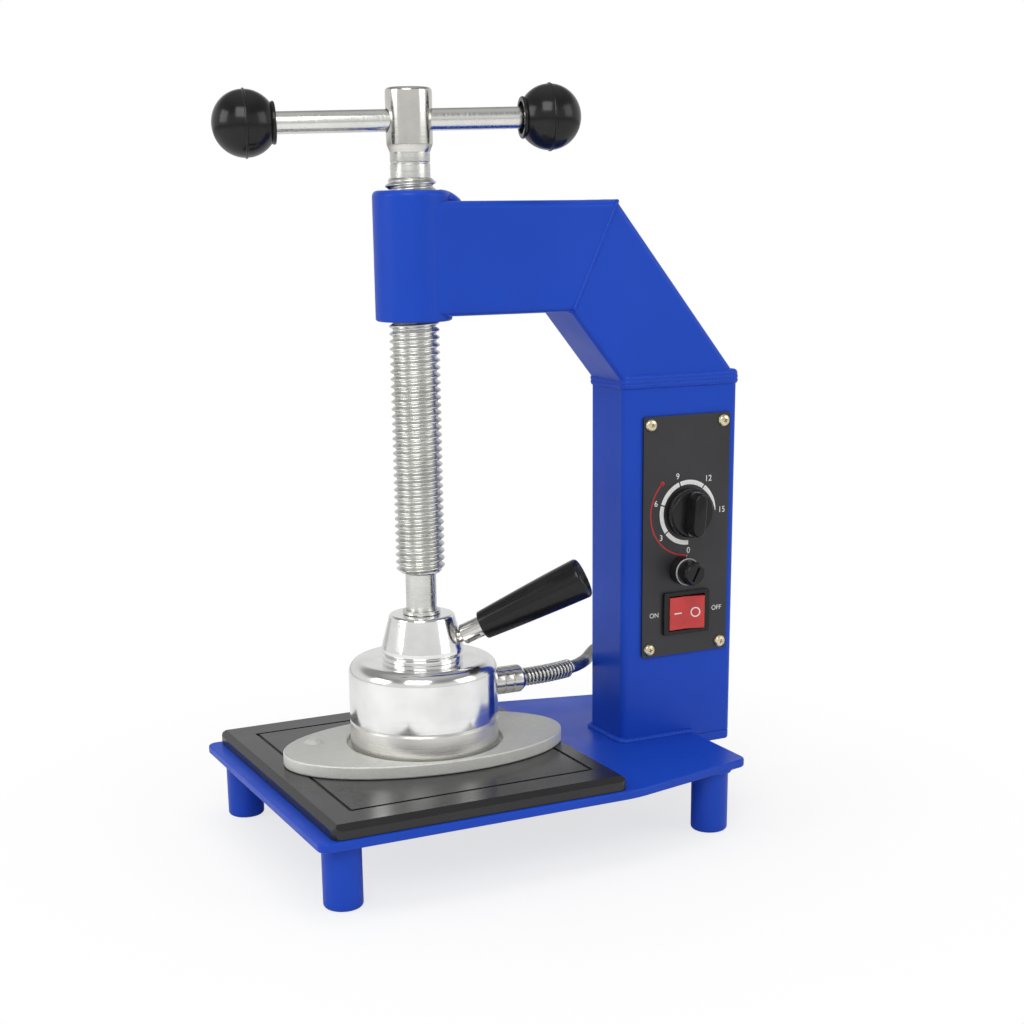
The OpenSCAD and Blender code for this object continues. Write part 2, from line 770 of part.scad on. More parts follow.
module heater_base() {
    r = head_d / 2;
    p = r - ring_wall;
    color([0.75, 0.75, 0.77])
    translate([screw_x, 0, head_z]) rotate_extrude($fn = 96)
        polygon([[0, 0], [r - seam_chamfer, 0], [r, seam_chamfer], [r, ring_h - seam_chamfer],
            [r - seam_chamfer, ring_h], [p, ring_h], [p, ring_floor], [0, ring_floor]]);
}

module heater_cap() {
    r = head_d / 2;
    i = r - cap_wall;
    color([0.85, 0.85, 0.87])
    difference() {
        translate([screw_x, 0, seam_z]) rotate_extrude($fn = 96)
            polygon(concat([[i, 0], [r - seam_chamfer, 0], [r, seam_chamfer]],
                corner_arc([r, 0], [r, cap_h], [0, cap_h], cap_round),
                [[0, cap_h], [0, cap_h - cap_wall]],
                corner_arc([0, cap_h - cap_wall], [i, cap_h - cap_wall], [i, 0], cap_round - cap_wall)));
        translate([screw_x + i - cut, 0, ferrule_z]) rotate([0, 90, 0])
            cylinder(d = ferrule_shank_d, h = head_d);
    }
}

module heating_element() {
    color("dimgray")
    translate([screw_x, 0, element_z]) cylinder(d = element_d, h = element_t);
}

module insulating_board() {
    color("wheat")
    translate([screw_x, 0, board_z]) cylinder(d = element_d, h = board_t);
}

module thermostat() {
    color("silver")
    translate([screw_x, 0, thermostat_z]) {
        cylinder(d = thermostat_d, h = thermostat_h / 2);
        translate([0, 0, thermostat_h / 2]) cylinder(d = thermostat_d * 0.8, h = thermostat_h / 2);
    }
}

module socket_collar() {
    r = collar_d / 2;
    b = chamber_d / 2;
    g = collar_h / 3;
    color([0.8, 0.8, 0.82])
    translate([screw_x, 0, cap_top_z]) rotate_extrude()
        polygon([[b, 0], [r - g / 4, 0], [r, g / 4], [r, 2 * g], [r - g, 2.5 * g], [r - g, collar_h],
            [b, collar_h]]);
}

module thrust_pad() {
    color("goldenrod")
    translate([screw_x, 0, cap_top_z]) cylinder(d = chamber_d, h = thrust_t);
}

// Outer shape of the socket, also used to trim the handle's stub
module socket_solid() {
    r = socket_d / 2;
    t = socket_top_d / 2;
    translate([screw_x, 0, socket_z]) rotate_extrude()
        polygon(rounded([[0, 0, 0], [r, 0, socket_rim_h / 3], [r, socket_rim_h, socket_rim_h / 3],
            [t, socket_h, socket_round], [0, socket_h, 0]]));
}

// Turns and lifts what is drawn along +Z into the handle's line
module along_handle() {
    translate([screw_x, 0, handle_meet_z]) rotate([0, 0, handle_turn])
        rotate([0, 90 - handle_rise, 0]) children();
}

module swivel_socket() {
    color([0.85, 0.85, 0.87])
    difference() {
        socket_solid();
        translate([screw_x, 0, socket_z - cut]) {
            cylinder(d = chamber_d, h = chamber_h + cut);
            cylinder(r = spindle_d / 2 + run_gap, h = socket_h + 2 * cut);
        }
        along_handle() translate([0, 0, stub_shoulder - stub_root_l]) cylinder(d = stub_stud_d, h = grip_start);
    }
}

module handle_stub() {
    shoulder = stub_shoulder + stub_neck_l;
    chamfer = (stub_d - stub_stud_d) / 6;
    color([0.82, 0.82, 0.84]) {
        difference() {
            along_handle() rotate_extrude()
                polygon([[0, shoulder], [stub_d / 2 - chamfer, shoulder],
                    [stub_d / 2, shoulder + chamfer], [stub_d / 2, grip_start], [0, grip_start]]);
            socket_solid();
        }
        along_handle() translate([0, 0, stub_shoulder - stub_root_l])
            cylinder(d = stub_stud_d, h = grip_start - stub_shoulder + stub_root_l + stub_stud_l);
    }
}

// Radius of the grip at a share of its length: slim near the stub, then swelling to the far end
function grip_r(t) = grip_near_d / 2 + (grip_far_d - grip_near_d) / 2 * (1.25 * t - 0.25 * t * t * t);

module handle_grip() {
    far = grip_far_d / 2;
    edge = far * 0.18;
    dish = far * 0.72;
    sink = far * 0.16;
    rod = stub_stud_d / 2;
    color([0.06, 0.06, 0.06])
    along_handle() translate([0, 0, grip_start]) rotate_extrude()
        polygon(concat([[rod, 0], [grip_r(0) - edge / 2, 0], [grip_r(0), edge / 2]],
            [for (i = [1:10]) [grip_r(i / 10.5), grip_l * i / 10.5]],
            corner_arc([far, 0], [far, grip_l], [0, grip_l], edge),
            [[dish + sink, grip_l], [dish, grip_l - sink], [0, grip_l - sink], [0, stub_stud_l],
            [rod, stub_stud_l]]));
}

// The thread is drawn as rings, one for each turn: shares of its depth and of its pitch
thread_shares = [[1, 0.06], [0, 0.36], [0, 0.64], [1, 0.94]];

module screw() {
    s = spindle_d / 2;
    n = neck_d / 2;
    root = screw_d / 2 - thread_depth;
    turns = floor(thread_l / thread_pitch);
    start = thread_z + (thread_l - turns * thread_pitch) / 2;
    groove = (retainer_d - spindle_d) / 4;
    color([0.8, 0.8, 0.8])
    translate([screw_x, 0, 0]) rotate_extrude()
        polygon(concat([[0, spindle_end_z], [s, spindle_end_z], [s, retainer_z], [s - groove, retainer_z],
            [s - groove, retainer_z + retainer_t], [s, retainer_z + retainer_t], [s, thread_z],
            [root, thread_z]],
            [for (i = [0:turns - 1], p = thread_shares)
                let(z = start + (i + p[1]) * thread_pitch, tip = min(z - thread_z, neck_z - z) / 2)
                [root + min((1 - p[0]) * thread_depth, tip), z]],
            [[root, neck_z], [n, neck_z], [n, hub_z], [0, hub_z]]));
}

module retaining_ring() {
    s = spindle_d / 2;
    groove = (retainer_d - spindle_d) / 4;
    color("dimgray")
    translate([screw_x, 0, retainer_z]) difference() {
        cylinder(d = retainer_d, h = retainer_t);
        translate([0, 0, -cut]) cylinder(r = s - groove, h = retainer_t + 2 * cut);
    }
}

module mouth_ring() {
    color([0.7, 0.7, 0.7])
    translate([screw_x, 0, socket_top_z + seat_gap]) difference() {
        cylinder(d = mouth_ring_d, h = mouth_ring_t);
        translate([0, 0, -cut]) cylinder(d = spindle_d, h = mouth_ring_t + 2 * cut);
    }
}

// Turns what is drawn along +X into the line of the tommy bar
module along_bar() {
    translate([screw_x, 0, bar_z]) rotate([0, 0, bar_turn]) rotate([0, -bar_tilt, 0]) children();
}

module screw_hub() {
    r = hub_d / 2;
    n = neck_d / 2;
    color([0.75, 0.74, 0.72])
    difference() {
        translate([screw_x, 0, hub_z]) rotate_extrude()
            polygon(rounded([[0, 0, 0], [n, 0, 0], [r, hub_cone_h, 0], [r, hub_h, hub_round],
                [0, hub_h, 0]]));
        along_bar() translate([-hub_d, 0, 0]) rotate([0, 90, 0])
            cylinder(r = bar_d / 2 + bar_gap, h = 2 * hub_d);
    }
}

module tommy_bar() {
    left = left_reach - bar_shoulder;
    right = right_reach - bar_shoulder;
    c = bar_d / 10;
    color([0.85, 0.85, 0.86])
    along_bar() rotate([0, 90, 0]) rotate_extrude()
        polygon([[0, -left - bar_stud_l], [bar_stud_d / 2, -left - bar_stud_l], [bar_stud_d / 2, -left],
            [bar_d / 2 - c, -left], [bar_d / 2, c - left], [bar_d / 2, right - c],
            [bar_d / 2 - c, right], [bar_stud_d / 2, right], [bar_stud_d / 2, right + bar_stud_l],
            [0, right + bar_stud_l]]);
}

// Ball knob about the origin, with its neck towards -Z
module ball_knob() {
    r = knob_d / 2;
    n = knob_neck_d / 2;
    rod = bar_stud_d / 2;
    start = asin((n - knob_seam) / r);
    neck_z0 = -knob_neck_end;
    mouth_r = bar_d / 2 + 2 * bar_gap;
    seam = asin(knob_seam / r);
    color([0.05, 0.05, 0.05])
    rotate_extrude()
        polygon(concat([[rod, -bar_shoulder], [mouth_r, -bar_shoulder], [mouth_r, neck_z0],
            [n - knob_seam, neck_z0], [n, neck_z0 + knob_seam]],
            [for (i = [0:8]) let(a = start + (90 - seam - start) * i / 8) [r * sin(a), -r * cos(a)]],
            [[r + knob_seam, 0]],
            [for (i = [0:12]) let(a = 90 + seam + (90 - seam) * i / 12) [r * sin(a), -r * cos(a)]],
            [[0, bar_stud_l - bar_shoulder], [rod, bar_stud_l - bar_shoulder]]));
}

module knob_left() {
    along_bar() translate([-left_reach, 0, 0]) rotate([0, -90, 0]) ball_knob();
}

module knob_right() {
    along_bar() translate([right_reach, 0, 0]) rotate([0, 90, 0]) ball_knob();
}

module conduit_ferrule() {
    r = ferrule_d / 2;
    shank = ferrule_shank_d / 2;
    bore = hose_d / 2 + hose_gap;
    wires = bore / 2;
    step = ferrule_l / 4;
    root = ferrule_root_x - cap_wall - shank;
    color([0.8, 0.79, 0.75])
    difference() {
        translate([root, 0, ferrule_z]) rotate([0, 90, 0]) rotate_extrude()
            polygon([[wires, 0], [shank, 0], [shank, cap_wall], [r, cap_wall],
                [r, ferrule_end_x - root - step / 2], [r - step / 4, ferrule_end_x - root],
                [bore, ferrule_end_x - root], [bore, hose_start_x - root],
                [wires, hose_start_x - root]]);
        difference() {
            translate([screw_x, 0, ferrule_z - ferrule_d])
                cylinder(d = head_d, h = 2 * ferrule_d, $fn = 96);
            translate([screw_x, 0, ferrule_z]) rotate([0, 90, 0])
                cylinder(d = ferrule_shank_d, h = head_d);
        }
    }
}

// Middle of the spring's wire at turn t
function spring_mid(t) =
    let(s = spring_from + (spring_to - spring_from) * (t / spring_turns), a = 360 * t)
    route_point(s) + spring_r * (cos(a) * route_side(s) + sin(a) * route_up(s));
function spring_ring(t) =
    let(e = 0.02, way = unit(spring_mid(t + e) - spring_mid(t - e)),
        s = spring_from + (spring_to - spring_from) * (t / spring_turns), a = 360 * t,
        out = unit(cos(a) * route_side(s) + sin(a) * route_up(s)), up = unit(cross(way, out)))
    [for (j = [0:spring_sides - 1]) let(b = 360 * j / spring_sides)
        spring_mid(t) + spring_wire_d / 2 * (cos(b) * cross(up, way) + sin(b) * up)];

module spring_guard() {
    color("silver")
    swept([for (i = [0:(spring_turns - 1) * spring_rings]) spring_ring(0.5 + i / spring_rings)]);
}

// Least gap between neighbouring turns of the spring, measured on the wire's middle line
spring_gap = min([for (t = [0.5:1 / spring_rings:spring_turns - 1.5], d = [-2:2])
    norm(spring_mid(t) - spring_mid(t + 1 + d / (4 * spring_rings)))]) - spring_wire_d;
echo(spring_least_gap = spring_gap);

module conduit_hose() {
    n = len(hose_route) - 1;
    color("gainsboro")
    swept([for (i = [0:n * hose_steps]) let(s = i / hose_steps)
        [for (j = [0:hose_sides - 1]) let(a = 360 * j / hose_sides)
            route_point(s) + hose_d / 2 * (cos(a) * route_side(s) + sin(a) * route_up(s))]]);
}

module conduit_gland() {
    r = gland_d / 2;
    shank = ferrule_shank_d / 2;
    bore = hose_d / 2 + hose_gap;
    stop = gland_l / 3;
    back = column_d / 2;
    color("silver")
    translate([gland_x, back, gland_z]) rotate([-90, 0, 0]) rotate_extrude()
        polygon([[bore / 2, -2 * tube_wall], [shank, -2 * tube_wall], [shank, 0], [r, 0],
            [r, gland_l * 0.8], [r - gland_l * 0.2, gland_l], [bore, gland_l], [bore, stop],
            [bore / 2, stop]]);
}

module mains_grommet() {
    r = grommet_d / 2;
    h = grommet_hole_d / 2;
    lip_t = grommet_lip;
    color([0.08, 0.08, 0.08])
    translate([grommet_x, column_d / 2, grommet_z]) rotate([-90, 0, 0]) rotate_extrude()
        polygon([[h, -tube_wall - lip_t], [r, -tube_wall - lip_t], [r, -tube_wall],
            [r - grommet_lip, -tube_wall], [r - grommet_lip, 0], [r, 0], [r, lip_t / 2],
            [r - lip_t / 2, lip_t], [h, lip_t]]);
}

// Places of the four panel screws, as [x, z]
function panel_screw_places() =
    [for (x = [panel_x + panel_screw_inset, panel_x + panel_w - panel_screw_inset])
        for (z = [panel_z + panel_screw_inset, panel_z + panel_h - panel_screw_inset]) [x, z]];

// Turns what is drawn in XY with +Z towards the viewer into the panel's front
module on_panel(x, y, z) {
    translate([x, y, z]) rotate([90, 0, 0]) children();
}

module control_panel() {
    color([0.08, 0.08, 0.09])
    difference() {
        on_panel(panel_x + panel_w / 2, panel_back_y, panel_z + panel_h / 2)
            linear_extrude(panel_t) round_rect(panel_w, panel_h, panel_corner_r);
        for (p = panel_screw_places())
            on_panel(p[0], panel_back_y + cut, p[1]) cylinder(d = panel_screw_d, h = panel_t + 2 * cut);
        on_panel(timer_x, panel_back_y + cut, timer_z)
            cylinder(d = timer_hole_d, h = panel_t + 2 * cut);
        on_panel(fuse_x, panel_back_y + cut, fuse_z) cylinder(d = fuse_barrel_d, h = panel_t + 2 * cut);
        translate([switch_x, panel_back_y, switch_z]) cube([case_w, 2 * panel_t + 2 * cut, case_h], center = true);
    }
}

module panel_screws() {
    r = panel_screw_head_d / 2;
    h = panel_screw_head_h;
    s = panel_screw_d / 2;
    color("gold")
    for (p = panel_screw_places())
        on_panel(p[0], panel_face_y, p[1]) rotate_extrude()
            polygon(rounded([[0, -panel_screw_l, 0], [s * 0.6, -panel_screw_l, 0], [s, s - panel_screw_l, 0],
                [s, 0, 0], [r, 0, 0], [r, h, h * 0.7], [0, h, 0]]));
}

module timer_case() {
    color([0.9, 0.9, 0.88])
    difference() {
        translate([timer_x, panel_back_y + timer_case_depth / 2, timer_z])
            cube([timer_case_w, timer_case_depth, timer_case_w], center = true);
        on_panel(timer_x, panel_back_y + timer_case_depth + cut, timer_z)
            cylinder(r = timer_shaft_d / 2 + run_gap, h = timer_case_depth + 2 * cut);
    }
}

module timer_shaft() {
    l = timer_case_depth + panel_t + dial_gap + dial_skirt_t;
    color("silver")
    on_panel(timer_x, panel_back_y + timer_case_depth, timer_z) cylinder(d = timer_shaft_d, h = l);
}

module timer_knob() {
    r = dial_knob_d / 2;
    color([0.05, 0.05, 0.05])
    on_panel(timer_x, panel_face_y - dial_gap, timer_z) difference() {
        union() {
            rotate_extrude()
                polygon(rounded([[0, 0, 0], [r, 0, 0], [r - dial_gap, dial_skirt_t, dial_gap],
                    [0, dial_skirt_t, 0]]));
            translate([0, 0, dial_skirt_t]) intersection() {
                translate([-dial_bar_w / 2, -r, 0]) cube([dial_bar_w, 2 * r, dial_bar_h]);
                cylinder(r = r - 2 * dial_gap, h = dial_bar_h);
            }
        }
        translate([0, 0, -cut]) cylinder(d = timer_shaft_d, h = dial_skirt_t + cut);
    }
}

module fuse_holder() {
    f = fuse_holder_d / 2;
    b = fuse_barrel_d / 2;
    bore = fuse_d / 2 + fuse_gap;
    color([0.1, 0.1, 0.1])
    on_panel(fuse_x, panel_face_y, fuse_z) rotate_extrude()
        polygon(rounded([[0, -fuse_barrel_l, 0], [b, -fuse_barrel_l, 0], [b, 0, 0], [f, 0, 0],
            [f, fuse_holder_l, fuse_gap], [bore, fuse_holder_l, 0],
            [bore, -fuse_barrel_l + b / 2, 0], [0, -fuse_barrel_l + b / 2, 0]]));
}

module fuse_cap() {
    r = fuse_cap_d / 2;
    color([0.08, 0.08, 0.08])
    on_panel(fuse_x, panel_face_y - fuse_holder_l - seat_gap, fuse_z) rotate_extrude()
        polygon(rounded([[0, 0, 0], [r, 0, 0], [r, fuse_cap_l, fuse_cap_l / 6], [0, fuse_cap_l, 0]]));
}

module fuse() {
    color("lightgray")
    on_panel(fuse_x, panel_face_y - fuse_holder_l - seat_gap, fuse_z) translate([0, 0, -fuse_l])
        cylinder(d = fuse_d, h = fuse_l);
}

module switch_case() {
    wall = (case_h - rocker_h) / 2 - rocker_gap;
    color([0.07, 0.07, 0.07])
    difference() {
        union() {
            on_panel(switch_x, panel_face_y, switch_z) linear_extrude(bezel_t) round_rect(bezel_w, bezel_h, bezel_t / 2);
            on_panel(switch_x, panel_face_y + case_depth, switch_z)
                translate([0, 0, case_depth / 2]) cube([case_w, case_h, case_depth], center = true);
        }
        on_panel(switch_x, panel_face_y + rocker_depth + rocker_w / 4, switch_z)
            translate([0, 0, rocker_w / 2])
                cube([rocker_w + 2 * rocker_gap, rocker_h + 2 * rocker_gap, rocker_w], center = true);
        translate([switch_x, rocker_pivot_y, switch_z])
            cylinder(r = rocker_pivot_d / 2 + run_gap, h = rocker_h + 2 * rocker_gap + wall, center = true);
    }
}

module switch_rocker() {
    w = rocker_w / 2;
    wall = (case_h - rocker_h) / 2 - rocker_gap;
    color("red")
    translate([switch_x, rocker_pivot_y, switch_z]) rotate([0, 0, -rocker_tilt]) {
        translate([0, 0, -rocker_h / 2]) linear_extrude(rocker_h)
            polygon([[-w, -rocker_depth - rocker_dish], [0, -rocker_depth], [w, -rocker_depth - rocker_dish],
                [w, -rocker_depth + rocker_dish], [w / 3, rocker_pivot_d], [-w / 3, rocker_pivot_d],
                [-w, -rocker_depth + rocker_dish]]);
        cylinder(d = rocker_pivot_d, h = rocker_h + 2 * rocker_gap + wall / 2, center = true);
    }
}

base_plate();
foot_front_left();
foot_front_right();
foot_rear_left();
foot_rear_right();
working_pad();
column();
column_foot_cap();
slanted_tube();
arm();
threaded_boss();
weld_beads();
platen();
heater_cap();
heater_base();
heating_element();
insulating_board();
thermostat();
socket_collar();
thrust_pad();
swivel_socket();
handle_stub();
handle_grip();
screw();
mouth_ring();
retaining_ring();
screw_hub();
tommy_bar();
knob_left();
knob_right();
conduit_ferrule();
spring_guard();
conduit_hose();
conduit_gland();
mains_grommet();
control_panel();
panel_screws();
timer_case();
timer_shaft();
timer_knob();
fuse_holder();
fuse_cap();
fuse();
switch_case();
switch_rocker();
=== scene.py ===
"""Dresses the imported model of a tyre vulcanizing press: finish, threads, welds, hose, panel print."""

import math

import bmesh
import bpy
from mathutils import Matrix, Vector, noise


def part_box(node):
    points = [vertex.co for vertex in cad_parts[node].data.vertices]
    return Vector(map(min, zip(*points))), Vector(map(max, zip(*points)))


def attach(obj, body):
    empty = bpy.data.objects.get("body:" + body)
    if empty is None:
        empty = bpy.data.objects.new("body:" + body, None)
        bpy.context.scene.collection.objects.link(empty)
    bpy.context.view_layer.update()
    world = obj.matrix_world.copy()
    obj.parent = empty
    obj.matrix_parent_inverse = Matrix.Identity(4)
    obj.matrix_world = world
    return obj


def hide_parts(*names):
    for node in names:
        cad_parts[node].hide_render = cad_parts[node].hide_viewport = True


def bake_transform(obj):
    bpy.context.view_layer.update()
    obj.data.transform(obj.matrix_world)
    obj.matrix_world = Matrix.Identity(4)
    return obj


bl_info = {
    "name": "Tyre Press Dressing",
    "version": (1, 0, 0),
    "blender": (4, 5, 0),
    "location": "View3D > Sidebar > Tyre Press",
    "description": "Models the finish, threads, welds, hose and panel of a tyre vulcanizing press",
    "category": "Add Mesh",
}

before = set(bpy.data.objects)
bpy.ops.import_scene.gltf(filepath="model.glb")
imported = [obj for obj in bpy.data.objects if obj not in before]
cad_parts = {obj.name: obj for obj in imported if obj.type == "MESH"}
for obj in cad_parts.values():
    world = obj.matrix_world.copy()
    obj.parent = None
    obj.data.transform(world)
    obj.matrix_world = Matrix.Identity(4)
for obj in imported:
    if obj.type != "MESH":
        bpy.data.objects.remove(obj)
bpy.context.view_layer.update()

MM = 0.001
UP = Vector((0, 0, 1))
TOWARDS_VIEWER = Vector((0, -1, 0))


def span(node):
    """Lowest and highest corner of a node, and its middle."""
    low, high = (Vector(p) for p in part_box(node))
    return low, high, (low + high) / 2


HEAD_MID = span("heater_base")[2]
SCREW_X = HEAD_MID.x
PANEL_FACE = span("control_panel")[0].y
# How far a printed mark stands proud
PRINT_HEIGHT = 0.05 * MM


def length_prop(name, text, length):
    return bpy.props.FloatProperty(name=name, description=text, default=length * MM, unit="LENGTH")


def colour_prop(name, text, rgb):
    return bpy.props.FloatVectorProperty(
        name=name, description=text, default=rgb, size=3, subtype="COLOR", min=0, max=1)


class PressSizes(bpy.types.PropertyGroup):
    """Sizes that a user would change."""

    edge: length_prop("Edge", "Rounding of the painted edges", 0.8)
    thread_pitch: length_prop("Thread pitch", "Pitch of the screw", 4)
    thread_depth: length_prop("Thread depth", "Depth of the thread", 1.9)
    spindle_length: length_prop("Spindle length", "Plain spindle between socket and thread", 23.7)
    neck_length: length_prop("Neck length", "Plain neck between thread and hub", 12.9)
    hose: length_prop("Hose", "Diameter of the braided hose", 7)
    wire: length_prop("Spring wire", "Diameter of the spring guard's wire", 1.5)
    dial_ring: length_prop("Dial ring", "Outer radius of the white ring round the timer", 19)
    numeral: length_prop("Numerals", "Height of the numbers on the dial", 4.9)


class PressColours(bpy.types.PropertyGroup):
    """Colours that a user would change."""

    paint: colour_prop("Paint", "Powder coat of the frame", (0.009, 0.058, 0.46))
    pad: colour_prop("Pad", "Working pad", (0.012, 0.012, 0.013))
    cast: colour_prop("Cast aluminium", "Platen", (0.76, 0.76, 0.73))
    chrome: colour_prop("Polished metal", "Cap and socket", (0.86, 0.86, 0.85))
    brushed: colour_prop("Turned aluminium", "Ring of the head", (0.80, 0.79, 0.76))
    zinc: colour_prop("Zinc steel", "Screw and bar", (0.66, 0.66, 0.63))
    nickel: colour_prop("Nickel", "Hub and fittings", (0.67, 0.66, 0.62))
    phenolic: colour_prop("Black plastic", "Knobs and grip", (0.008, 0.008, 0.008))
    panel: colour_prop("Panel", "Control panel", (0.014, 0.014, 0.016))
    brass: colour_prop("Panel screws", "Yellow zinc", (0.72, 0.64, 0.44))
    red: colour_prop("Rocker", "Rocker of the switch", (0.62, 0.012, 0.010))
    mark: colour_prop("Marks", "White print", (0.78, 0.78, 0.76))


def sizes():
    return bpy.context.scene.press_sizes


# Finishes


class Finish:
    """A node material under construction: every layer adds to colour, roughness or bump."""

    def __init__(self, name, colour, metallic, roughness, **fixed):
        self.mat = bpy.data.materials.new(name)
        self.mat.use_nodes = True
        self.tree = self.mat.node_tree
        self.shader = self.tree.nodes["Principled BSDF"]
        self.colour = tuple(colour) + (1.0,)
        self.shader.inputs["Base Color"].default_value = self.colour
        self.shader.inputs["Metallic"].default_value = metallic
        self.shader.inputs["Roughness"].default_value = roughness
        for key, value in fixed.items():
            self.shader.inputs[key.replace("_", " ").title().replace("Ior", "IOR")].default_value = value
        self.coords = self.node("ShaderNodeTexCoord").outputs["Object"]
        self.normal = None

    def node(self, kind, inputs=(), **settings):
        made = self.tree.nodes.new(kind)
        for key, value in settings.items():
            setattr(made, key, value)
        for key, value in dict(inputs).items():
            if isinstance(value, bpy.types.NodeSocket):
                self.tree.links.new(value, made.inputs[key])
            else:
                made.inputs[key].default_value = value
        return made

    def noise(self, scale, detail, coords=None):
        return self.node("ShaderNodeTexNoise", {
            "Vector": coords or self.coords, "Scale": scale, "Detail": detail}).outputs["Fac"]

    def around(self, centre, axis):
        """Coordinates of a turned piece: distance from its axis, and place along it."""
        moved = self.node("ShaderNodeMapping", {"Vector": self.coords, "Location": [-c for c in centre]})
        parts = self.node("ShaderNodeSeparateXYZ", {0: moved.outputs["Vector"]}).outputs
        across = [parts[k] for k in "XYZ" if k != axis]
        flat = self.node("ShaderNodeCombineXYZ", {0: across[0], 1: across[1]}).outputs[0]
        far = self.node("ShaderNodeVectorMath", {0: flat}, operation="LENGTH").outputs["Value"]
        return self.node("ShaderNodeCombineXYZ", {0: far, 1: parts[axis]}).outputs[0]

    def mapped(self, value, low, high, start=0.3, end=0.7):
        return self.node("ShaderNodeMapRange", {
            "Value": value, "From Min": start, "From Max": end, "To Min": low, "To Max": high,
        }).outputs["Result"]

    def rough(self, value, low, high):
        self.tree.links.new(self.mapped(value, low, high), self.shader.inputs["Roughness"])

    def tint(self, value, other, start, end):
        """Mixes another colour in where the value is high."""
        share = self.mapped(value, 0.0, 1.0, start, end)
        mix = self.node("ShaderNodeMix", {"Factor": share}, data_type="RGBA")
        mix.inputs[6].default_value = self.colour
        mix.inputs[7].default_value = tuple(other) + (1.0,)
        self.tree.links.new(mix.outputs[2], self.shader.inputs["Base Color"])

    def bump(self, value, distance, strength=1.0):
        made = self.node("ShaderNodeBump", {"Height": value, "Strength": strength, "Distance": distance})
        if self.normal:
            self.tree.links.new(self.normal, made.inputs["Normal"])
        self.normal = made.outputs["Normal"]
        self.tree.links.new(self.normal, self.shader.inputs["Normal"])


def shade(colour, share):
    return tuple(min(1.0, c * share) for c in colour)


FINISHES = {}


def clouded(key, name, colour, metallic, roughness, bumps=(), rough=None, tint=None, **fixed):
    """Makes a finish of noise: each bump is scale, detail, height in millimetres and strength, rough is
    scale, detail, least and most, and tint is scale, detail, other colour, start and end."""
    made = Finish(name, colour, metallic, roughness, **fixed)
    for scale, detail, high, strength in bumps:
        made.bump(made.noise(scale, detail), high * MM, strength)
    if rough:
        made.rough(made.noise(*rough[:2]), *rough[2:])
    if tint:
        made.tint(made.noise(*tint[:2]), *tint[2:])
    FINISHES[key] = made.mat


def turned_metal(key, name, colour, roughness, marks, centre=HEAD_MID, axis="Z"):
    """Makes a metal finish with turning marks, in millimetres, round an axis, a little cloudy."""
    made = Finish(name, colour, 1.0, roughness)
    at = made.around(centre, axis)
    made.bump(made.noise(2200, 2.0, at), marks * MM)
    made.rough(made.noise(900, 2.0, at), roughness * 0.75, roughness * 1.35)
    made.tint(made.noise(60, 4.0), shade(colour, 0.86), 0.4, 0.75)
    FINISHES[key] = made.mat


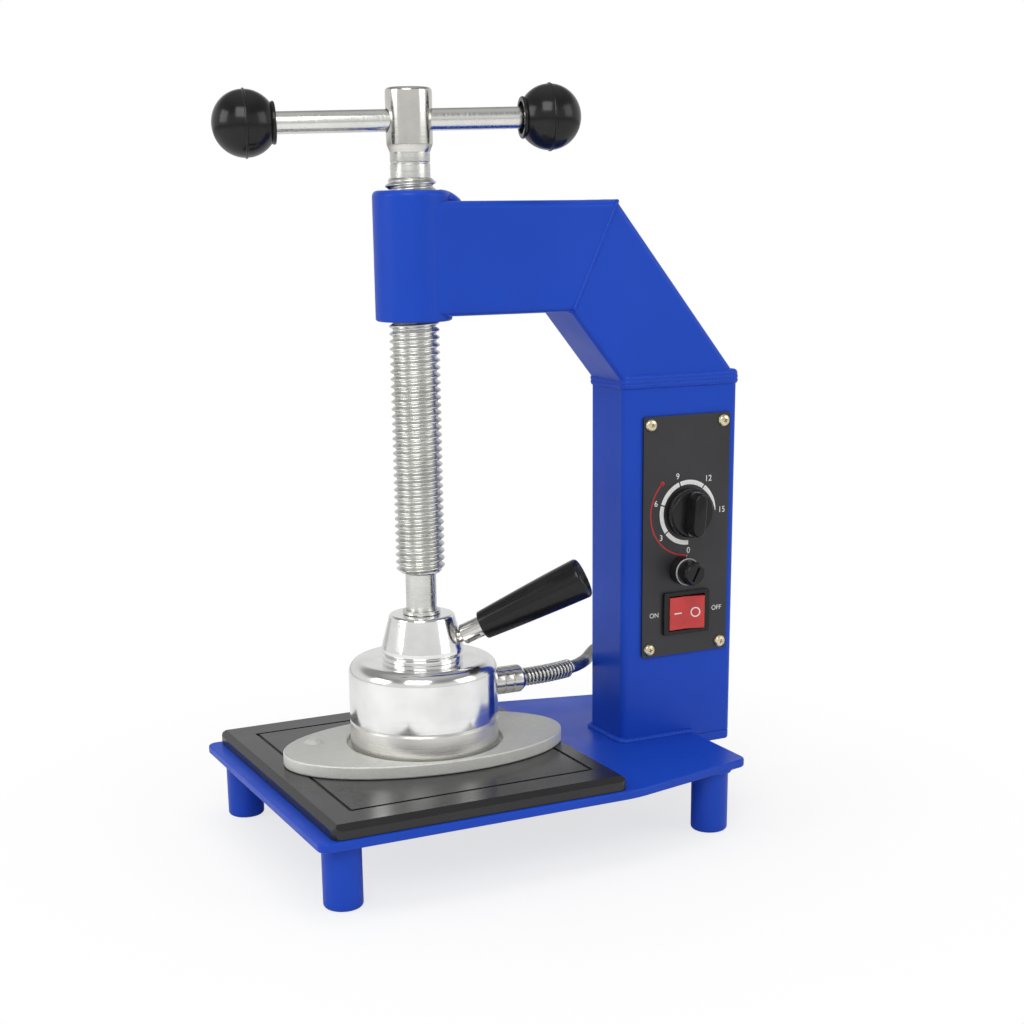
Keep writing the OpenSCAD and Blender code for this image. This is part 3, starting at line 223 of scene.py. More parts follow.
def make_finishes():
    c = bpy.context.scene.press_colours
    clouded("blue_paint", "blue powder coat", c.paint, 0.0, 0.38,
            [(420, 2.0, 0.12, 0.35), (1500, 2.0, 0.03, 0.5)], (35, 4.0, 0.31, 0.42),
            (14, 3.0, shade(c.paint, 0.86), 0.4, 0.8), specular_ior_level=0.18)
    clouded("black_pad", "black pad", c.pad, 0.0, 0.26, [(260, 3.0, 0.04, 0.2)], (40, 3.0, 0.24, 0.28),
            (25, 5.0, shade(c.pad, 1.6), 0.5, 0.9), specular_ior_level=0.45)
    clouded("cast_aluminium", "sand cast aluminium", c.cast, 1.0, 0.6, [(1300, 3.0, 0.22, 0.6)],
            (500, 3.0, 0.6, 0.78), (160, 5.0, shade(c.cast, 0.94), 0.35, 0.85))
    turned_metal("polished_cap", "polished cap", c.chrome, 0.13, 0.002)
    turned_metal("brushed_aluminium", "turned aluminium", c.brushed, 0.3, 0.006)
    turned_metal("zinc_steel", "zinc plated steel", c.zinc, 0.27, 0.01)
    turned_metal("nickel", "nickel plated", c.nickel, 0.17, 0.005)
    turned_metal("bar_steel", "bright bar", shade(c.zinc, 1.12), 0.22, 0.008, span("tommy_bar")[2], "X")
    clouded("braid", "braided wire", shade(c.zinc, 0.95), 1.0, 0.35, rough=(700, 3.0, 0.28, 0.45),
            tint=(160, 4.0, shade(c.zinc, 0.55), 0.45, 0.8))
    clouded("black_plastic", "moulded phenolic", c.phenolic, 0.0, 0.18, [(180, 2.0, 0.05, 0.2)],
            (90, 5.0, 0.15, 0.24), (50, 4.0, shade(c.phenolic, 2.0), 0.5, 0.9), specular_ior_level=0.3)
    clouded("black_rubber", "black rubber", (0.018, 0.018, 0.018), 0.0, 0.7, [(900, 4.0, 0.1, 0.4)],
            (120, 4.0, 0.6, 0.82), (70, 4.0, (0.035, 0.035, 0.035), 0.45, 0.8))
    clouded("panel_black", "panel lacquer", c.panel, 0.0, 0.38, [(1800, 2.0, 0.03, 0.4)],
            (55, 4.0, 0.33, 0.46), (20, 3.0, shade(c.panel, 1.7), 0.4, 0.8))
    clouded("screw_brass", "yellow zinc", c.brass, 1.0, 0.26, [(2500, 2.0, 0.02, 0.5)],
            (800, 4.0, 0.2, 0.42), (500, 4.0, shade(c.brass, 0.6), 0.45, 0.8))
    clouded("timer_white", "cream moulding", (0.8, 0.78, 0.72), 0.0, 0.45, [(900, 2.0, 0.05, 0.3)],
            tint=(60, 3.0, (0.7, 0.68, 0.6), 0.4, 0.8))
    clouded("rocker_red", "red translucent rocker", c.red, 0.0, 0.12, [(240, 2.0, 0.05, 0.25)],
            tint=(90, 3.0, shade(c.red, 0.7), 0.4, 0.8),
            transmission_weight=0.12, ior=1.49, coat_weight=0.5, coat_roughness=0.06)
    clouded("fuse_glass", "fuse glass", (0.9, 0.93, 0.93), 0.0, 0.05, rough=(300, 3.0, 0.03, 0.1),
            transmission_weight=0.8, ior=1.5)
    clouded("insulation", "pressed fibre", (0.62, 0.54, 0.38), 0.0, 0.8, [(600, 6.0, 0.2, 0.6)],
            tint=(250, 6.0, (0.45, 0.37, 0.25), 0.4, 0.7))
    turned_metal("thrust_bronze", "turned bronze", (0.62, 0.42, 0.2), 0.3, 0.01)
    clouded("print_white", "white print", c.mark, 0.0, 0.5, tint=(900, 4.0, shade(c.mark, 0.82), 0.4, 0.75))
    clouded("print_red", "red print", (0.42, 0.015, 0.02), 0.0, 0.5,
            tint=(900, 4.0, (0.3, 0.012, 0.016), 0.4, 0.75))
    clouded("grey_ring", "grey ring", (0.42, 0.42, 0.41), 0.0, 0.4, [(1200, 2.0, 0.03, 0.3)],
            tint=(300, 3.0, (0.34, 0.34, 0.33), 0.4, 0.8))


# Shapes


def place(origin, direction=UP):
    """Matrix that puts a shape drawn along +Z at origin, along direction."""
    turned = Vector(direction).normalized().to_track_quat("Z", "Y").to_matrix().to_4x4()
    return Matrix.Translation(origin) @ turned


def sloped(yaw, rise):
    """Direction that is turned by yaw about the upright and rises, in degrees."""
    yaw, rise = math.radians(yaw), math.radians(rise)
    return Vector((math.cos(yaw) * math.cos(rise), math.sin(yaw) * math.cos(rise), math.sin(rise)))


def fillet(corners, segments=6):
    """Points of an outline whose corners (a, b, radius) are rounded where they have a radius."""
    out = []
    for i, (a, b, radius) in enumerate(corners):
        here = Vector((a, b))
        if not radius or i in (0, len(corners) - 1):
            out.append(here)
            continue
        back = (Vector(corners[i - 1][:2]) - here).normalized()
        ahead = (Vector(corners[i + 1][:2]) - here).normalized()
        half = back.angle(ahead) / 2
        reach = radius / math.tan(half)
        middle = here + (back + ahead).normalized() * (radius / math.sin(half))
        start, end = here + back * reach - middle, here + ahead * reach - middle
        sweep = start.angle_signed(end)
        for k in range(segments + 1):
            out.append(middle + Matrix.Rotation(-sweep * k / segments, 2) @ start)
    return out


def smooth(bm, angle):
    """Smooth shading with sharp edges where faces meet at more than the angle."""
    for face in bm.faces:
        face.smooth = True
    for edge in bm.edges:
        edge.smooth = len(edge.link_faces) != 2 or edge.calc_face_angle(0) < math.radians(angle)


def piece(name, bm, finish, body, nodes=(), angle=35):
    """Makes an object of a mesh, gives it its finish and hangs it on its body."""
    smooth(bm, angle)
    mesh = bpy.data.meshes.new(name)
    bm.to_mesh(mesh)
    bm.free()
    made = bpy.data.objects.new(name, mesh)
    bpy.context.scene.collection.objects.link(made)
    mesh.materials.append(FINISHES[finish])
    if body:
        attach(made, body)
    if nodes:
        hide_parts(*nodes)
    return made


def merge(source, bm):
    """Adds one mesh to another and frees it."""
    spare = bpy.data.meshes.new("spare")
    source.to_mesh(spare)
    source.free()
    bm.from_mesh(spare)
    bpy.data.meshes.remove(spare)


def turn(outline, steps, at, bm=None):
    """Spins an outline of (radius, height) about Z, then puts it in its place."""
    bm = bm or bmesh.new()
    old = set(bm.verts)
    row = [bm.verts.new((p[0], 0, p[1])) for p in outline]
    edges = [bm.edges.new(pair) for pair in zip(row, row[1:])]
    bmesh.ops.spin(bm, geom=row + edges, cent=(0, 0, 0), axis=(0, 0, 1), dvec=(0, 0, 0),
                   angle=math.tau, steps=steps, use_merge=True, use_duplicate=False)
    new = [v for v in bm.verts if v not in old]
    bmesh.ops.remove_doubles(bm, verts=new, dist=1e-7)
    new = [v for v in bm.verts if v not in old]
    bmesh.ops.transform(bm, matrix=at, verts=new)
    faces = [f for f in bm.faces if f.verts[0] not in old]
    bmesh.ops.recalc_face_normals(bm, faces=faces)
    return bm


def soften(bm, width, segments=3, angle=30):
    """Bevels the edges where faces meet at more than the angle."""
    sharp = [e for e in bm.edges if len(e.link_faces) == 2 and e.calc_face_angle(0) > math.radians(angle)]
    bmesh.ops.bevel(bm, geom=sharp, offset=width, offset_type="OFFSET", segments=segments,
                    profile=0.5, affect="EDGES", clamp_overlap=True, material=-1)
    return bm


def dressed(name, node, width, finish, body="frame", segments=3):
    """A CAD piece with its flat faces made whole and its edges broken, as paint or tumbling leaves them."""
    bm = bmesh.new()
    bm.from_mesh(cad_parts[node].data)
    bmesh.ops.remove_doubles(bm, verts=bm.verts[:], dist=2e-6)
    bmesh.ops.dissolve_limit(bm, angle_limit=math.radians(0.6), verts=bm.verts[:], edges=bm.edges[:])
    made = piece(name, soften(bm, width, segments), finish, body, [node])
    # Normals weighed by area, so that a flat face stays flat beside its rounded edges
    made.modifiers.new("Weighted", "WEIGHTED_NORMAL").keep_sharp = True
    plain = made.data
    made.data = bpy.data.meshes.new_from_object(made.evaluated_get(bpy.context.evaluated_depsgraph_get()))
    made.data.name = name
    made.modifiers.clear()
    bpy.data.meshes.remove(plain)


def plate(outline, thickness, at, bm=None):
    """Extrudes a closed outline of (x, y) along +Z."""
    bm = bm or bmesh.new()
    old = set(bm.verts)
    face = bm.faces.new([bm.verts.new((p[0], p[1], 0)) for p in outline])
    if face.normal.z > 0:
        face.normal_flip()
    grown = bmesh.ops.extrude_face_region(bm, geom=[face])
    top = [g for g in grown["geom"] if isinstance(g, bmesh.types.BMVert)]
    bmesh.ops.translate(bm, verts=top, vec=(0, 0, thickness))
    new = [v for v in bm.verts if v not in old]
    bmesh.ops.recalc_face_normals(bm, faces=[f for f in bm.faces if f.verts[0] not in old])
    bmesh.ops.transform(bm, matrix=at, verts=new)
    return bm


def round_rectangle(w, h, r, segments=6):
    corners = [(w / 2, h / 2, 0), (-w / 2, h / 2, 90), (-w / 2, -h / 2, 180), (w / 2, -h / 2, 270)]
    out = []
    for x, y, start in corners:
        cx, cy = x - math.copysign(r, x), y - math.copysign(r, y)
        for k in range(segments + 1):
            a = math.radians(start + 90 * k / segments)
            out.append((cx + r * math.cos(a), cy + r * math.sin(a)))
    return out


def sweep(rings, sides, radius):
    """Tube through a list of ring matrices; radius(i, j) gives each corner's distance."""
    bm = bmesh.new()
    base = bmesh.ops.create_circle(bm, segments=sides, radius=1.0, cap_ends=False)["verts"]
    edges = list({e for v in base for e in v.link_edges})
    row = sorted(base, key=lambda v: math.atan2(v.co.y, v.co.x))
    unit = [v.co.copy() for v in row]
    for j, v in enumerate(row):
        v.co = rings[0] @ (unit[j] * radius(0, j))
    for i in range(1, len(rings)):
        grown = bmesh.ops.extrude_edge_only(bm, edges=edges)["geom"]
        fresh = {g for g in grown if isinstance(g, bmesh.types.BMVert)}
        edges = [g for g in grown if isinstance(g, bmesh.types.BMEdge)
                 and g.verts[0] in fresh and g.verts[1] in fresh]
        row = [next(e.other_vert(v) for e in v.link_edges if e.other_vert(v) in fresh) for v in row]
        for j, v in enumerate(row):
            v.co = rings[i] @ (unit[j] * radius(i, j))
    bmesh.ops.holes_fill(bm, edges=[e for e in bm.edges if len(e.link_faces) == 1], sides=0)
    bmesh.ops.recalc_face_normals(bm, faces=bm.faces[:])
    return bm


def along(points):
    """Ring matrices along points, turning as little as they can."""
    rings = []
    side = None
    for i, p in enumerate(points):
        way = (points[min(i + 1, len(points) - 1)] - points[max(i - 1, 0)]).normalized()
        if side is None:
            side = way.orthogonal().normalized()
        side = (side - way * side.dot(way)).normalized()
        rings.append(Matrix((side, way.cross(side), way)).transposed().to_4x4())
        rings[-1].translation = p
    return rings


def add_outline(curve, at, bm):
    """Adds what a curve or a text draws to a mesh, and clears the curve away."""
    holder = bpy.data.objects.new(curve.name, curve)
    bpy.context.scene.collection.objects.link(holder)
    bpy.context.view_layer.update()
    mesh = holder.to_mesh()
    if at:
        mesh.transform(at)
    bm.from_mesh(mesh)
    holder.to_mesh_clear()
    bpy.data.objects.remove(holder)
    bpy.data.curves.remove(curve)


def bead(points, radius, closed, seed, bm, ripple=0.16, pitch=1.6 * MM):
    """Weld bead: a round tube through the points whose thickness ripples."""
    step = 0.45 * MM
    spaced = []
    loop = points + [points[0]] if closed else points
    for a, b in zip(loop, loop[1:]):
        steps = max(1, round((b - a).length / step))
        spaced += [a.lerp(b, k / steps) for k in range(steps)]
    if not closed:
        spaced.append(loop[-1])
    curve = bpy.data.curves.new("bead", "CURVE")
    curve.dimensions = "3D"
    curve.bevel_depth = radius
    curve.bevel_resolution = 3
    curve.use_fill_caps = True
    line = curve.splines.new("POLY")
    line.points.add(len(spaced) - 1)
    line.use_cyclic_u = closed
    for i, p in enumerate(spaced):
        wave = math.sin(math.tau * i * step / pitch + 2.0 * noise.noise(p * 260 + Vector((seed, 0, 0))))
        drift = noise.noise(p * 90 + Vector((0, seed, 0)))
        line.points[i].co = (*p, 1)
        line.points[i].radius = 1 + ripple * 0.5 * wave + ripple * drift
    add_outline(curve, None, bm)


def lettering(text, size, at, bm):
    """Flat raised text, made a mesh in its place; at is the matrix of its middle."""
    curve = bpy.data.curves.new("letters", "FONT")
    curve.body = text
    curve.size = size
    curve.align_x = "CENTER"
    curve.align_y = "CENTER"
    curve.extrude = 0.02 * MM
    curve.resolution_u = 6
    add_outline(curve, at, bm)


def cut(bm, cutters):
    """Takes closed shapes out of a mesh."""
    def holder(source, name):
        mesh = bpy.data.meshes.new(name)
        source.to_mesh(mesh)
        source.free()
        made = bpy.data.objects.new(name, mesh)
        bpy.context.scene.collection.objects.link(made)
        return made

    solid = holder(bm, "solid")
    tools = [holder(c, "tool") for c in cutters]
    for tool in tools:
        step = solid.modifiers.new("cut", "BOOLEAN")
        step.operation = "DIFFERENCE"
        step.solver = "EXACT"
        step.object = tool
    bpy.context.view_layer.update()
    done = solid.evaluated_get(bpy.context.evaluated_depsgraph_get())
    out = bmesh.new()
    out.from_mesh(done.to_mesh())
    done.to_mesh_clear()
    for made in [solid] + tools:
        mesh = made.data
        bpy.data.objects.remove(made)
        bpy.data.meshes.remove(mesh)
    return out


def block(w, d, h, at):
    """Box of width, depth and height about the middle that the matrix gives."""
    bm = bmesh.new()
    made = bmesh.ops.create_cube(bm, size=1.0)["verts"]
    bmesh.ops.scale(bm, vec=(w, d, h), verts=made)
    bmesh.ops.transform(bm, matrix=at, verts=made)
    return bm


# Pieces


class PRESS_OT_stage(bpy.types.Operator):
    """Camera, floor, lamps and world"""

    bl_idname = "press.stage"
    bl_label = "Stage"

    def execute(self, context):
        scene = context.scene
        scene.view_settings.view_transform = "Standard"
        self.camera(scene)
        self.floor(scene)
        self.world(scene)
        for name, spot, size, power, mirrored in (
            ("key lamp", (-0.9, -1.3, 1.5), 1.1, 18, True),
            ("left lamp", (-1.7, 0.2, 0.9), 0.9, 8, True),
            ("right lamp", (1.3, -1.2, 0.9), 1.0, 6, True),
            ("top lamp", (0.1, 0.1, 1.9), 1.4, 12, False),
        ):
            self.lamp(scene, name, Vector(spot), size, power, mirrored)
        return {"FINISHED"}

    def camera(self, scene):
        """Camera at the photo's viewpoint."""
        yaw, pitch, roll = (math.radians(a) for a in (26.543, 15.480, 0.571))
        ahead = Vector((math.sin(yaw) * math.cos(pitch), math.cos(yaw) * math.cos(pitch), -math.sin(pitch)))
        right = Vector((math.cos(yaw), -math.sin(yaw), 0))
        down = ahead.cross(right)
        across = right * math.cos(roll) + down * math.sin(roll)
        below = down * math.cos(roll) - right * math.sin(roll)
        data = bpy.data.cameras.new("camera")
        data.sensor_width = 36
        data.lens = 60.55
        data.shift_x = -0.0105
        data.shift_y = 0.1683
        made = bpy.data.objects.new("camera", data)
        pose = Matrix((across, -below, -ahead)).transposed().to_4x4()
        pose.translation = Vector((SCREW_X - 0.36971, -0.86573, 0.34802))
        made.matrix_world = pose
        scene.collection.objects.link(made)
        scene.camera = made

    def floor(self, scene):
        """Pale floor that the camera sees turn white away from the object."""
        bm = bmesh.new()
        bmesh.ops.create_grid(bm, x_segments=4, y_segments=4, size=6.0)
        mesh = bpy.data.meshes.new("floor")
        bm.to_mesh(mesh)
        bm.free()
        made = bpy.data.objects.new("floor", mesh)
        ground = Finish("pale floor", (0.88, 0.88, 0.88), 0.0, 0.6)
        ground.rough(ground.noise(6, 3.0), 0.55, 0.65)
        rays = ground.node("ShaderNodeLightPath").outputs
        glow = ground.node("ShaderNodeEmission", {"Color": (1, 1, 1, 1), "Strength": 1.0})
        far = ground.node("ShaderNodeVectorMath", {0: ground.coords}, operation="LENGTH").outputs["Value"]
        veil = ground.mapped(far, 0.72, 1.0, 0.15, 0.34)
        seen = ground.node("ShaderNodeMath", {0: rays["Is Camera Ray"], 1: veil}, operation="MULTIPLY")
        mixed = ground.node("ShaderNodeMixShader", {
            0: seen.outputs[0], 1: ground.shader.outputs[0], 2: glow.outputs[0]})
        ground.tree.links.new(mixed.outputs[0], ground.tree.nodes["Material Output"].inputs["Surface"])
        mesh.materials.append(ground.mat)
        scene.collection.objects.link(made)

    def world(self, scene):
        """Even light, a white background, and for reflections a room that is darker overhead."""
        world = bpy.data.worlds.new("studio")
        world.use_nodes = True
        scene.world = world
        tree = world.node_tree
        plain = tree.nodes["Background"]
        seen, shiny = (tree.nodes.new("ShaderNodeBackground") for _ in range(2))
        for node, strength in ((plain, 0.42), (seen, 1.0), (shiny, 1.0)):
            node.inputs["Color"].default_value = (1, 1, 1, 1)
            node.inputs["Strength"].default_value = strength
        coords = tree.nodes.new("ShaderNodeTexCoord")
        parts = tree.nodes.new("ShaderNodeSeparateXYZ")
        ramp = tree.nodes.new("ShaderNodeValToRGB")
        stops = ((0.0, 0.85), (0.5, 0.8), (0.62, 0.8), (0.7, 0.72), (0.78, 0.3), (0.88, 0.3), (1.0, 0.6))
        while len(ramp.color_ramp.elements) < len(stops):
            ramp.color_ramp.elements.new(0.5)
        for element, (spot, level) in zip(ramp.color_ramp.elements, stops):
            element.position = spot
            element.color = (level, level, level, 1)
        place_up = tree.nodes.new("ShaderNodeMapRange")
        place_up.inputs["From Min"].default_value = -1.0
        rays = tree.nodes.new("ShaderNodeLightPath")
        first, second = (tree.nodes.new("ShaderNodeMixShader") for _ in range(2))
        for a, b in (
            (coords.outputs["Generated"], parts.inputs[0]),
            (parts.outputs["Z"], place_up.inputs["Value"]),
            (place_up.outputs["Result"], ramp.inputs["Fac"]),
            (ramp.outputs["Color"], shiny.inputs["Color"]),
            (rays.outputs["Is Glossy Ray"], first.inputs[0]),
            (plain.outputs[0], first.inputs[1]),
            (shiny.outputs[0], first.inputs[2]),
            (rays.outputs["Is Camera Ray"], second.inputs[0]),
            (first.outputs[0], second.inputs[1]),
            (seen.outputs[0], second.inputs[2]),
            (second.outputs[0], tree.nodes["World Output"].inputs["Surface"]),
        ):
            tree.links.new(a, b)

    def lamp(self, scene, name, spot, size, power, mirrored):
        data = bpy.data.lights.new(name, "AREA")
        data.shape = "RECTANGLE"
        data.size = data.size_y = size
        data.energy = power
        made = bpy.data.objects.new(name, data)
        aimed_at = Vector((0, 0, 0.2))
        made.matrix_world = place(spot, spot - aimed_at)
        made.visible_glossy = mirrored
        scene.collection.objects.link(made)


class PRESS_OT_welded_frame(bpy.types.Operator):
    """Base plate, column, slanted piece, arm and boss, with their painted edges rounded"""

    bl_idname = "press.welded_frame"
    bl_label = "Welded frame"

    def execute(self, context):
        edge = sizes().edge
        for node in ("base_plate", "column_foot_cap"):
            dressed(node + "_painted", node, edge * 1.4, "blue_paint")
        for node in ("column", "slanted_tube", "arm"):
            dressed(node + "_painted", node, edge * 0.5, "blue_paint", segments=2)
        dressed("boss_painted", "threaded_boss", edge * 0.5, "blue_paint", segments=2)
        return {"FINISHED"}


class PRESS_OT_feet(bpy.types.Operator):
    """Four round feet"""

    bl_idname = "press.feet"
    bl_label = "Feet"

    def execute(self, context):
        for node in ("foot_front_left", "foot_front_right", "foot_rear_left", "foot_rear_right"):
            low, high, mid = span(node)
            r = (high.x - low.x) / 2
            outline = fillet([(0, 0, 0), (r * 0.55, 0, 0), (r, 0, 0.2 * r), (r, high.z * 0.5, 0),
                              (r, high.z, 0), (0, high.z, 0)], 8)
            bm = turn(outline, 56, place((mid.x, mid.y, 0)))
            ring = r + 0.4 * MM
            angles = [math.tau * k / 48 for k in range(48)]
            bead([Vector((mid.x + ring * math.cos(a), mid.y + ring * math.sin(a), high.z)) for a in angles],
                 1.5 * MM, True, mid.x * 100, bm)
            piece(node + "_painted", bm, "blue_paint", "frame", [node])
        return {"FINISHED"}


class PRESS_OT_welds(bpy.types.Operator):
    """Weld beads round the column, along the miter and at the boss"""

    bl_idname = "press.welds"
    bl_label = "Weld beads"

    def execute(self, context):
        col_low, col_high, mid = span("column")
        w, d = col_high.x - col_low.x, col_high.y - col_low.y
        top, deck = col_high.z, span("base_plate")[1].z
        rear = span("base_plate")[1].x
        bm = bmesh.new()
        for k, (lift, grow, thick) in enumerate(((-2.1, -1.1, 2.3), (1.9, -1.3, 2.4), (0, -1.0, 2.2))):
            ring = round_rectangle(w + 2 * grow * MM, d + 2 * grow * MM, 3 * MM)
            points = [Vector((mid.x + x, y, top + lift * MM)) for x, y in ring]
            bead(points, thick * MM, True, 3.7 * k, bm, 0.1)
        end_x, level = rear - 1 * MM, deck + 0.3 * MM
        path = [Vector((mid.x + x, y, level)) for x, y in round_rectangle(w + 1 * MM, d + 1 * MM, 4 * MM, 8)
                if mid.x + x < end_x]
        ends = [Vector((end_x, s * path[0].y, level)) for s in (1, -1)]
        path.sort(key=lambda p: math.atan2(p.y, -(p.x - mid.x)))
        bead([ends[1]] + path + [ends[0]], 2.1 * MM, False, 9.1, bm, 0.2)
        self.miter(bm, d)
        self.boss(bm)
        piece("weld_beads_painted", bm, "blue_paint", "frame", ["weld_beads"], angle=60)
        return {"FINISHED"}

    def miter(self, bm, d):
        """The weld round the cut where the arm meets the slanted piece."""
        low, high, _ = span("arm")
        under, over = Vector((span("slanted_tube")[0].x, 0, low.z)), Vector((high.x, 0, high.z))
        for side in (-1, 1):
            y = side * (d / 2 - 0.5 * MM)
            bead([Vector((p.x, y, p.z)) for p in (under.lerp(over, 0.02), under.lerp(over, 0.97))],
                 1.3 * MM, False, 4.4 * side, bm, 0.12, 3 * MM)
        reach = d * 0.46
        bead([Vector((under.x, s * reach, under.z + 0.3 * MM)) for s in (-1, 1)], 1.3 * MM, False, 2.2, bm)
        bead([Vector((over.x, s * reach, over.z - 0.9 * MM)) for s in (-1, 1)], 1.1 * MM, False, 5.2, bm, 0.1)

    def boss(self, bm):
        """The ramp of weld between the boss and the arm's top."""
        low, high, mid = span("threaded_boss")
        arm_high = span("arm")[1]
        r = (high.x - low.x) / 2
        ramp = bmesh.new()
        bmesh.ops.create_uvsphere(ramp, u_segments=48, v_segments=28, radius=1.0)
        bmesh.ops.scale(ramp, vec=(7.5 * MM, 12 * MM, 5.2 * MM), verts=ramp.verts)
        for v in ramp.verts:
            v.co *= 1 + 0.08 * noise.noise(v.co * 240)
            v.co.z -= v.co.x * 0.35
        bmesh.ops.translate(ramp, vec=(mid.x + r - 0.5 * MM, 0, arm_high.z), verts=ramp.verts)
        merge(ramp, bm)


class PRESS_OT_pad(bpy.types.Operator):
    """Black working pad"""

    bl_idname = "press.pad"
    bl_label = "Working pad"

    def execute(self, context):
        dressed("pad_polished", "working_pad", 0.2 * MM, "black_pad")
        return {"FINISHED"}


class PRESS_OT_platen(bpy.types.Operator):
    """Cast oval platen"""

    bl_idname = "press.platen"
    bl_label = "Platen"

    def execute(self, context):
        dressed("platen_cast", "platen", 1.1 * MM, "cast_aluminium", "platen", 4)
        return {"FINISHED"}


class PRESS_OT_head(bpy.types.Operator):
    """Turned pieces of the heating head and its swivel"""

    bl_idname = "press.head"
    bl_label = "Heating head"

    def execute(self, context):
        self.ring()
        self.cap()
        self.collar()
        dressed("socket_polished", "swivel_socket", 0.5 * MM, "polished_cap", "head")
        dressed("mouth_ring_steel", "mouth_ring", 0.3 * MM, "zinc_steel", "press_screw", 2)
        return {"FINISHED"}

    def ring(self):
        low, high, mid = span("heater_base")
        r, h = (high.x - low.x) / 2, high.z - low.z
        inner = r - 5 * MM
        outline = fillet([
            (0, 0, 0), (r - 1.2 * MM, 0, 0.5 * MM), (r, 1.2 * MM, 0.3 * MM), (r, h - 0.9 * MM, 0.3 * MM),
            (r - 0.7 * MM, h, 0.2 * MM), (inner, h, 0.3 * MM), (inner, 6 * MM, 0.5 * MM), (0, 6 * MM, 0)], 4)
        piece("heater_base_turned", turn(outline, 128, place((mid.x, mid.y, low.z))),
              "brushed_aluminium", "head", ["heater_base"])

    def cap(self):
        low, high, mid = span("heater_cap")
        r, h = (high.x - low.x) / 2, high.z - low.z
        wall = 3 * MM
        outline = fillet([
            (r - wall, 0, 0), (r - 0.7 * MM, 0, 0.2 * MM), (r, 0.9 * MM, 0.3 * MM),
            (r, h, 7.5 * MM), (0.01 * MM, h, 0), (0, h - wall, 0), (r - wall, h - wall, 4.5 * MM),
            (r - wall, 0, 0)], 16)
        bm = turn(outline, 128, place((mid.x, mid.y, low.z)))
        bmesh.ops.remove_doubles(bm, verts=bm.verts[:], dist=1e-5)
        piece("heater_cap_polished", bm, "polished_cap", "head", ["heater_cap"])

    def collar(self):
        low, high, mid = span("socket_collar")
        r, h = (high.x - low.x) / 2, high.z - low.z
        b = 12.5 * MM
        outline = fillet([
            (b, 0, 0), (r - 0.3 * MM, 0, 0), (r, 0.3 * MM, 0.2 * MM), (r, h * 0.68, 0.4 * MM),
            (r - h / 3, h * 0.84, 0.2 * MM), (r - h / 3, h, 0), (b, h, 0), (b, 0, 0)], 3)
        piece("socket_collar_polished", turn(outline, 96, place((mid.x, mid.y, low.z))),
              "polished_cap", "head", ["socket_collar"])


class PRESS_OT_handle(bpy.types.Operator):
    """Stub and grip of the head's handle"""

    bl_idname = "press.handle"
    bl_label = "Head handle"

    def execute(self, context):
        root = Vector((SCREW_X, 0, span("swivel_socket")[0].z - 1.7 * MM))
        at = place(root, sloped(-32, 26.4))
        near, long = 38.2 * MM, 63.4 * MM
        self.stub(at, near)
        self.grip(at, near, near + long, long)
        return {"FINISHED"}

    def stub(self, at, near):
        r, stud = 5.8 * MM, 3.5 * MM
        start, shoulder, end = 18 * MM, 25.5 * MM, near + 30 * MM
        edge = 0.8 * MM
        outline = fillet([(0, start, 0), (stud, start, 0), (stud, shoulder, 0.4 * MM),
                          (r - edge, shoulder, 0.3 * MM), (r, shoulder + edge, 0.4 * MM),
                          (r, near, 0), (stud, near, 0), (stud, end, 0), (0, end, 0)], 4)
        beside = Matrix.Translation((r + 1.1 * MM, 0, shoulder + 6.2 * MM))
        flats = [block(4 * MM, 12 * MM, 8 * MM, at @ Matrix.Rotation(math.radians(a), 4, "Z") @ beside)
                 for a in (60, 240)]
        piece("handle_stub_plated", cut(turn(outline, 56, at), flats), "nickel", "head", ["handle_stub"])

    def grip(self, at, near, end, long):
        small, big = 8.1 * MM, 11.5 * MM
        dish = end - 1.9 * MM
        outline = [(0, near, 0), (small - 0.4 * MM, near, 0.3 * MM), (small, near + 0.6 * MM, 0.2 * MM)]
        for k in range(1, 20):
            t = k / 20.5
            outline.append((small + (big - small) * (1.25 * t - 0.25 * t ** 3), near + long * t, 0))
        outline += [(big, end, 2.2 * MM), (big * 0.74, end, 0.7 * MM), (big * 0.66, dish, 0.6 * MM),
                    (0, dish, 0)]
        piece("handle_grip_moulded", turn(fillet(outline, 6), 72, at), "black_plastic", "head",
              ["handle_grip"])


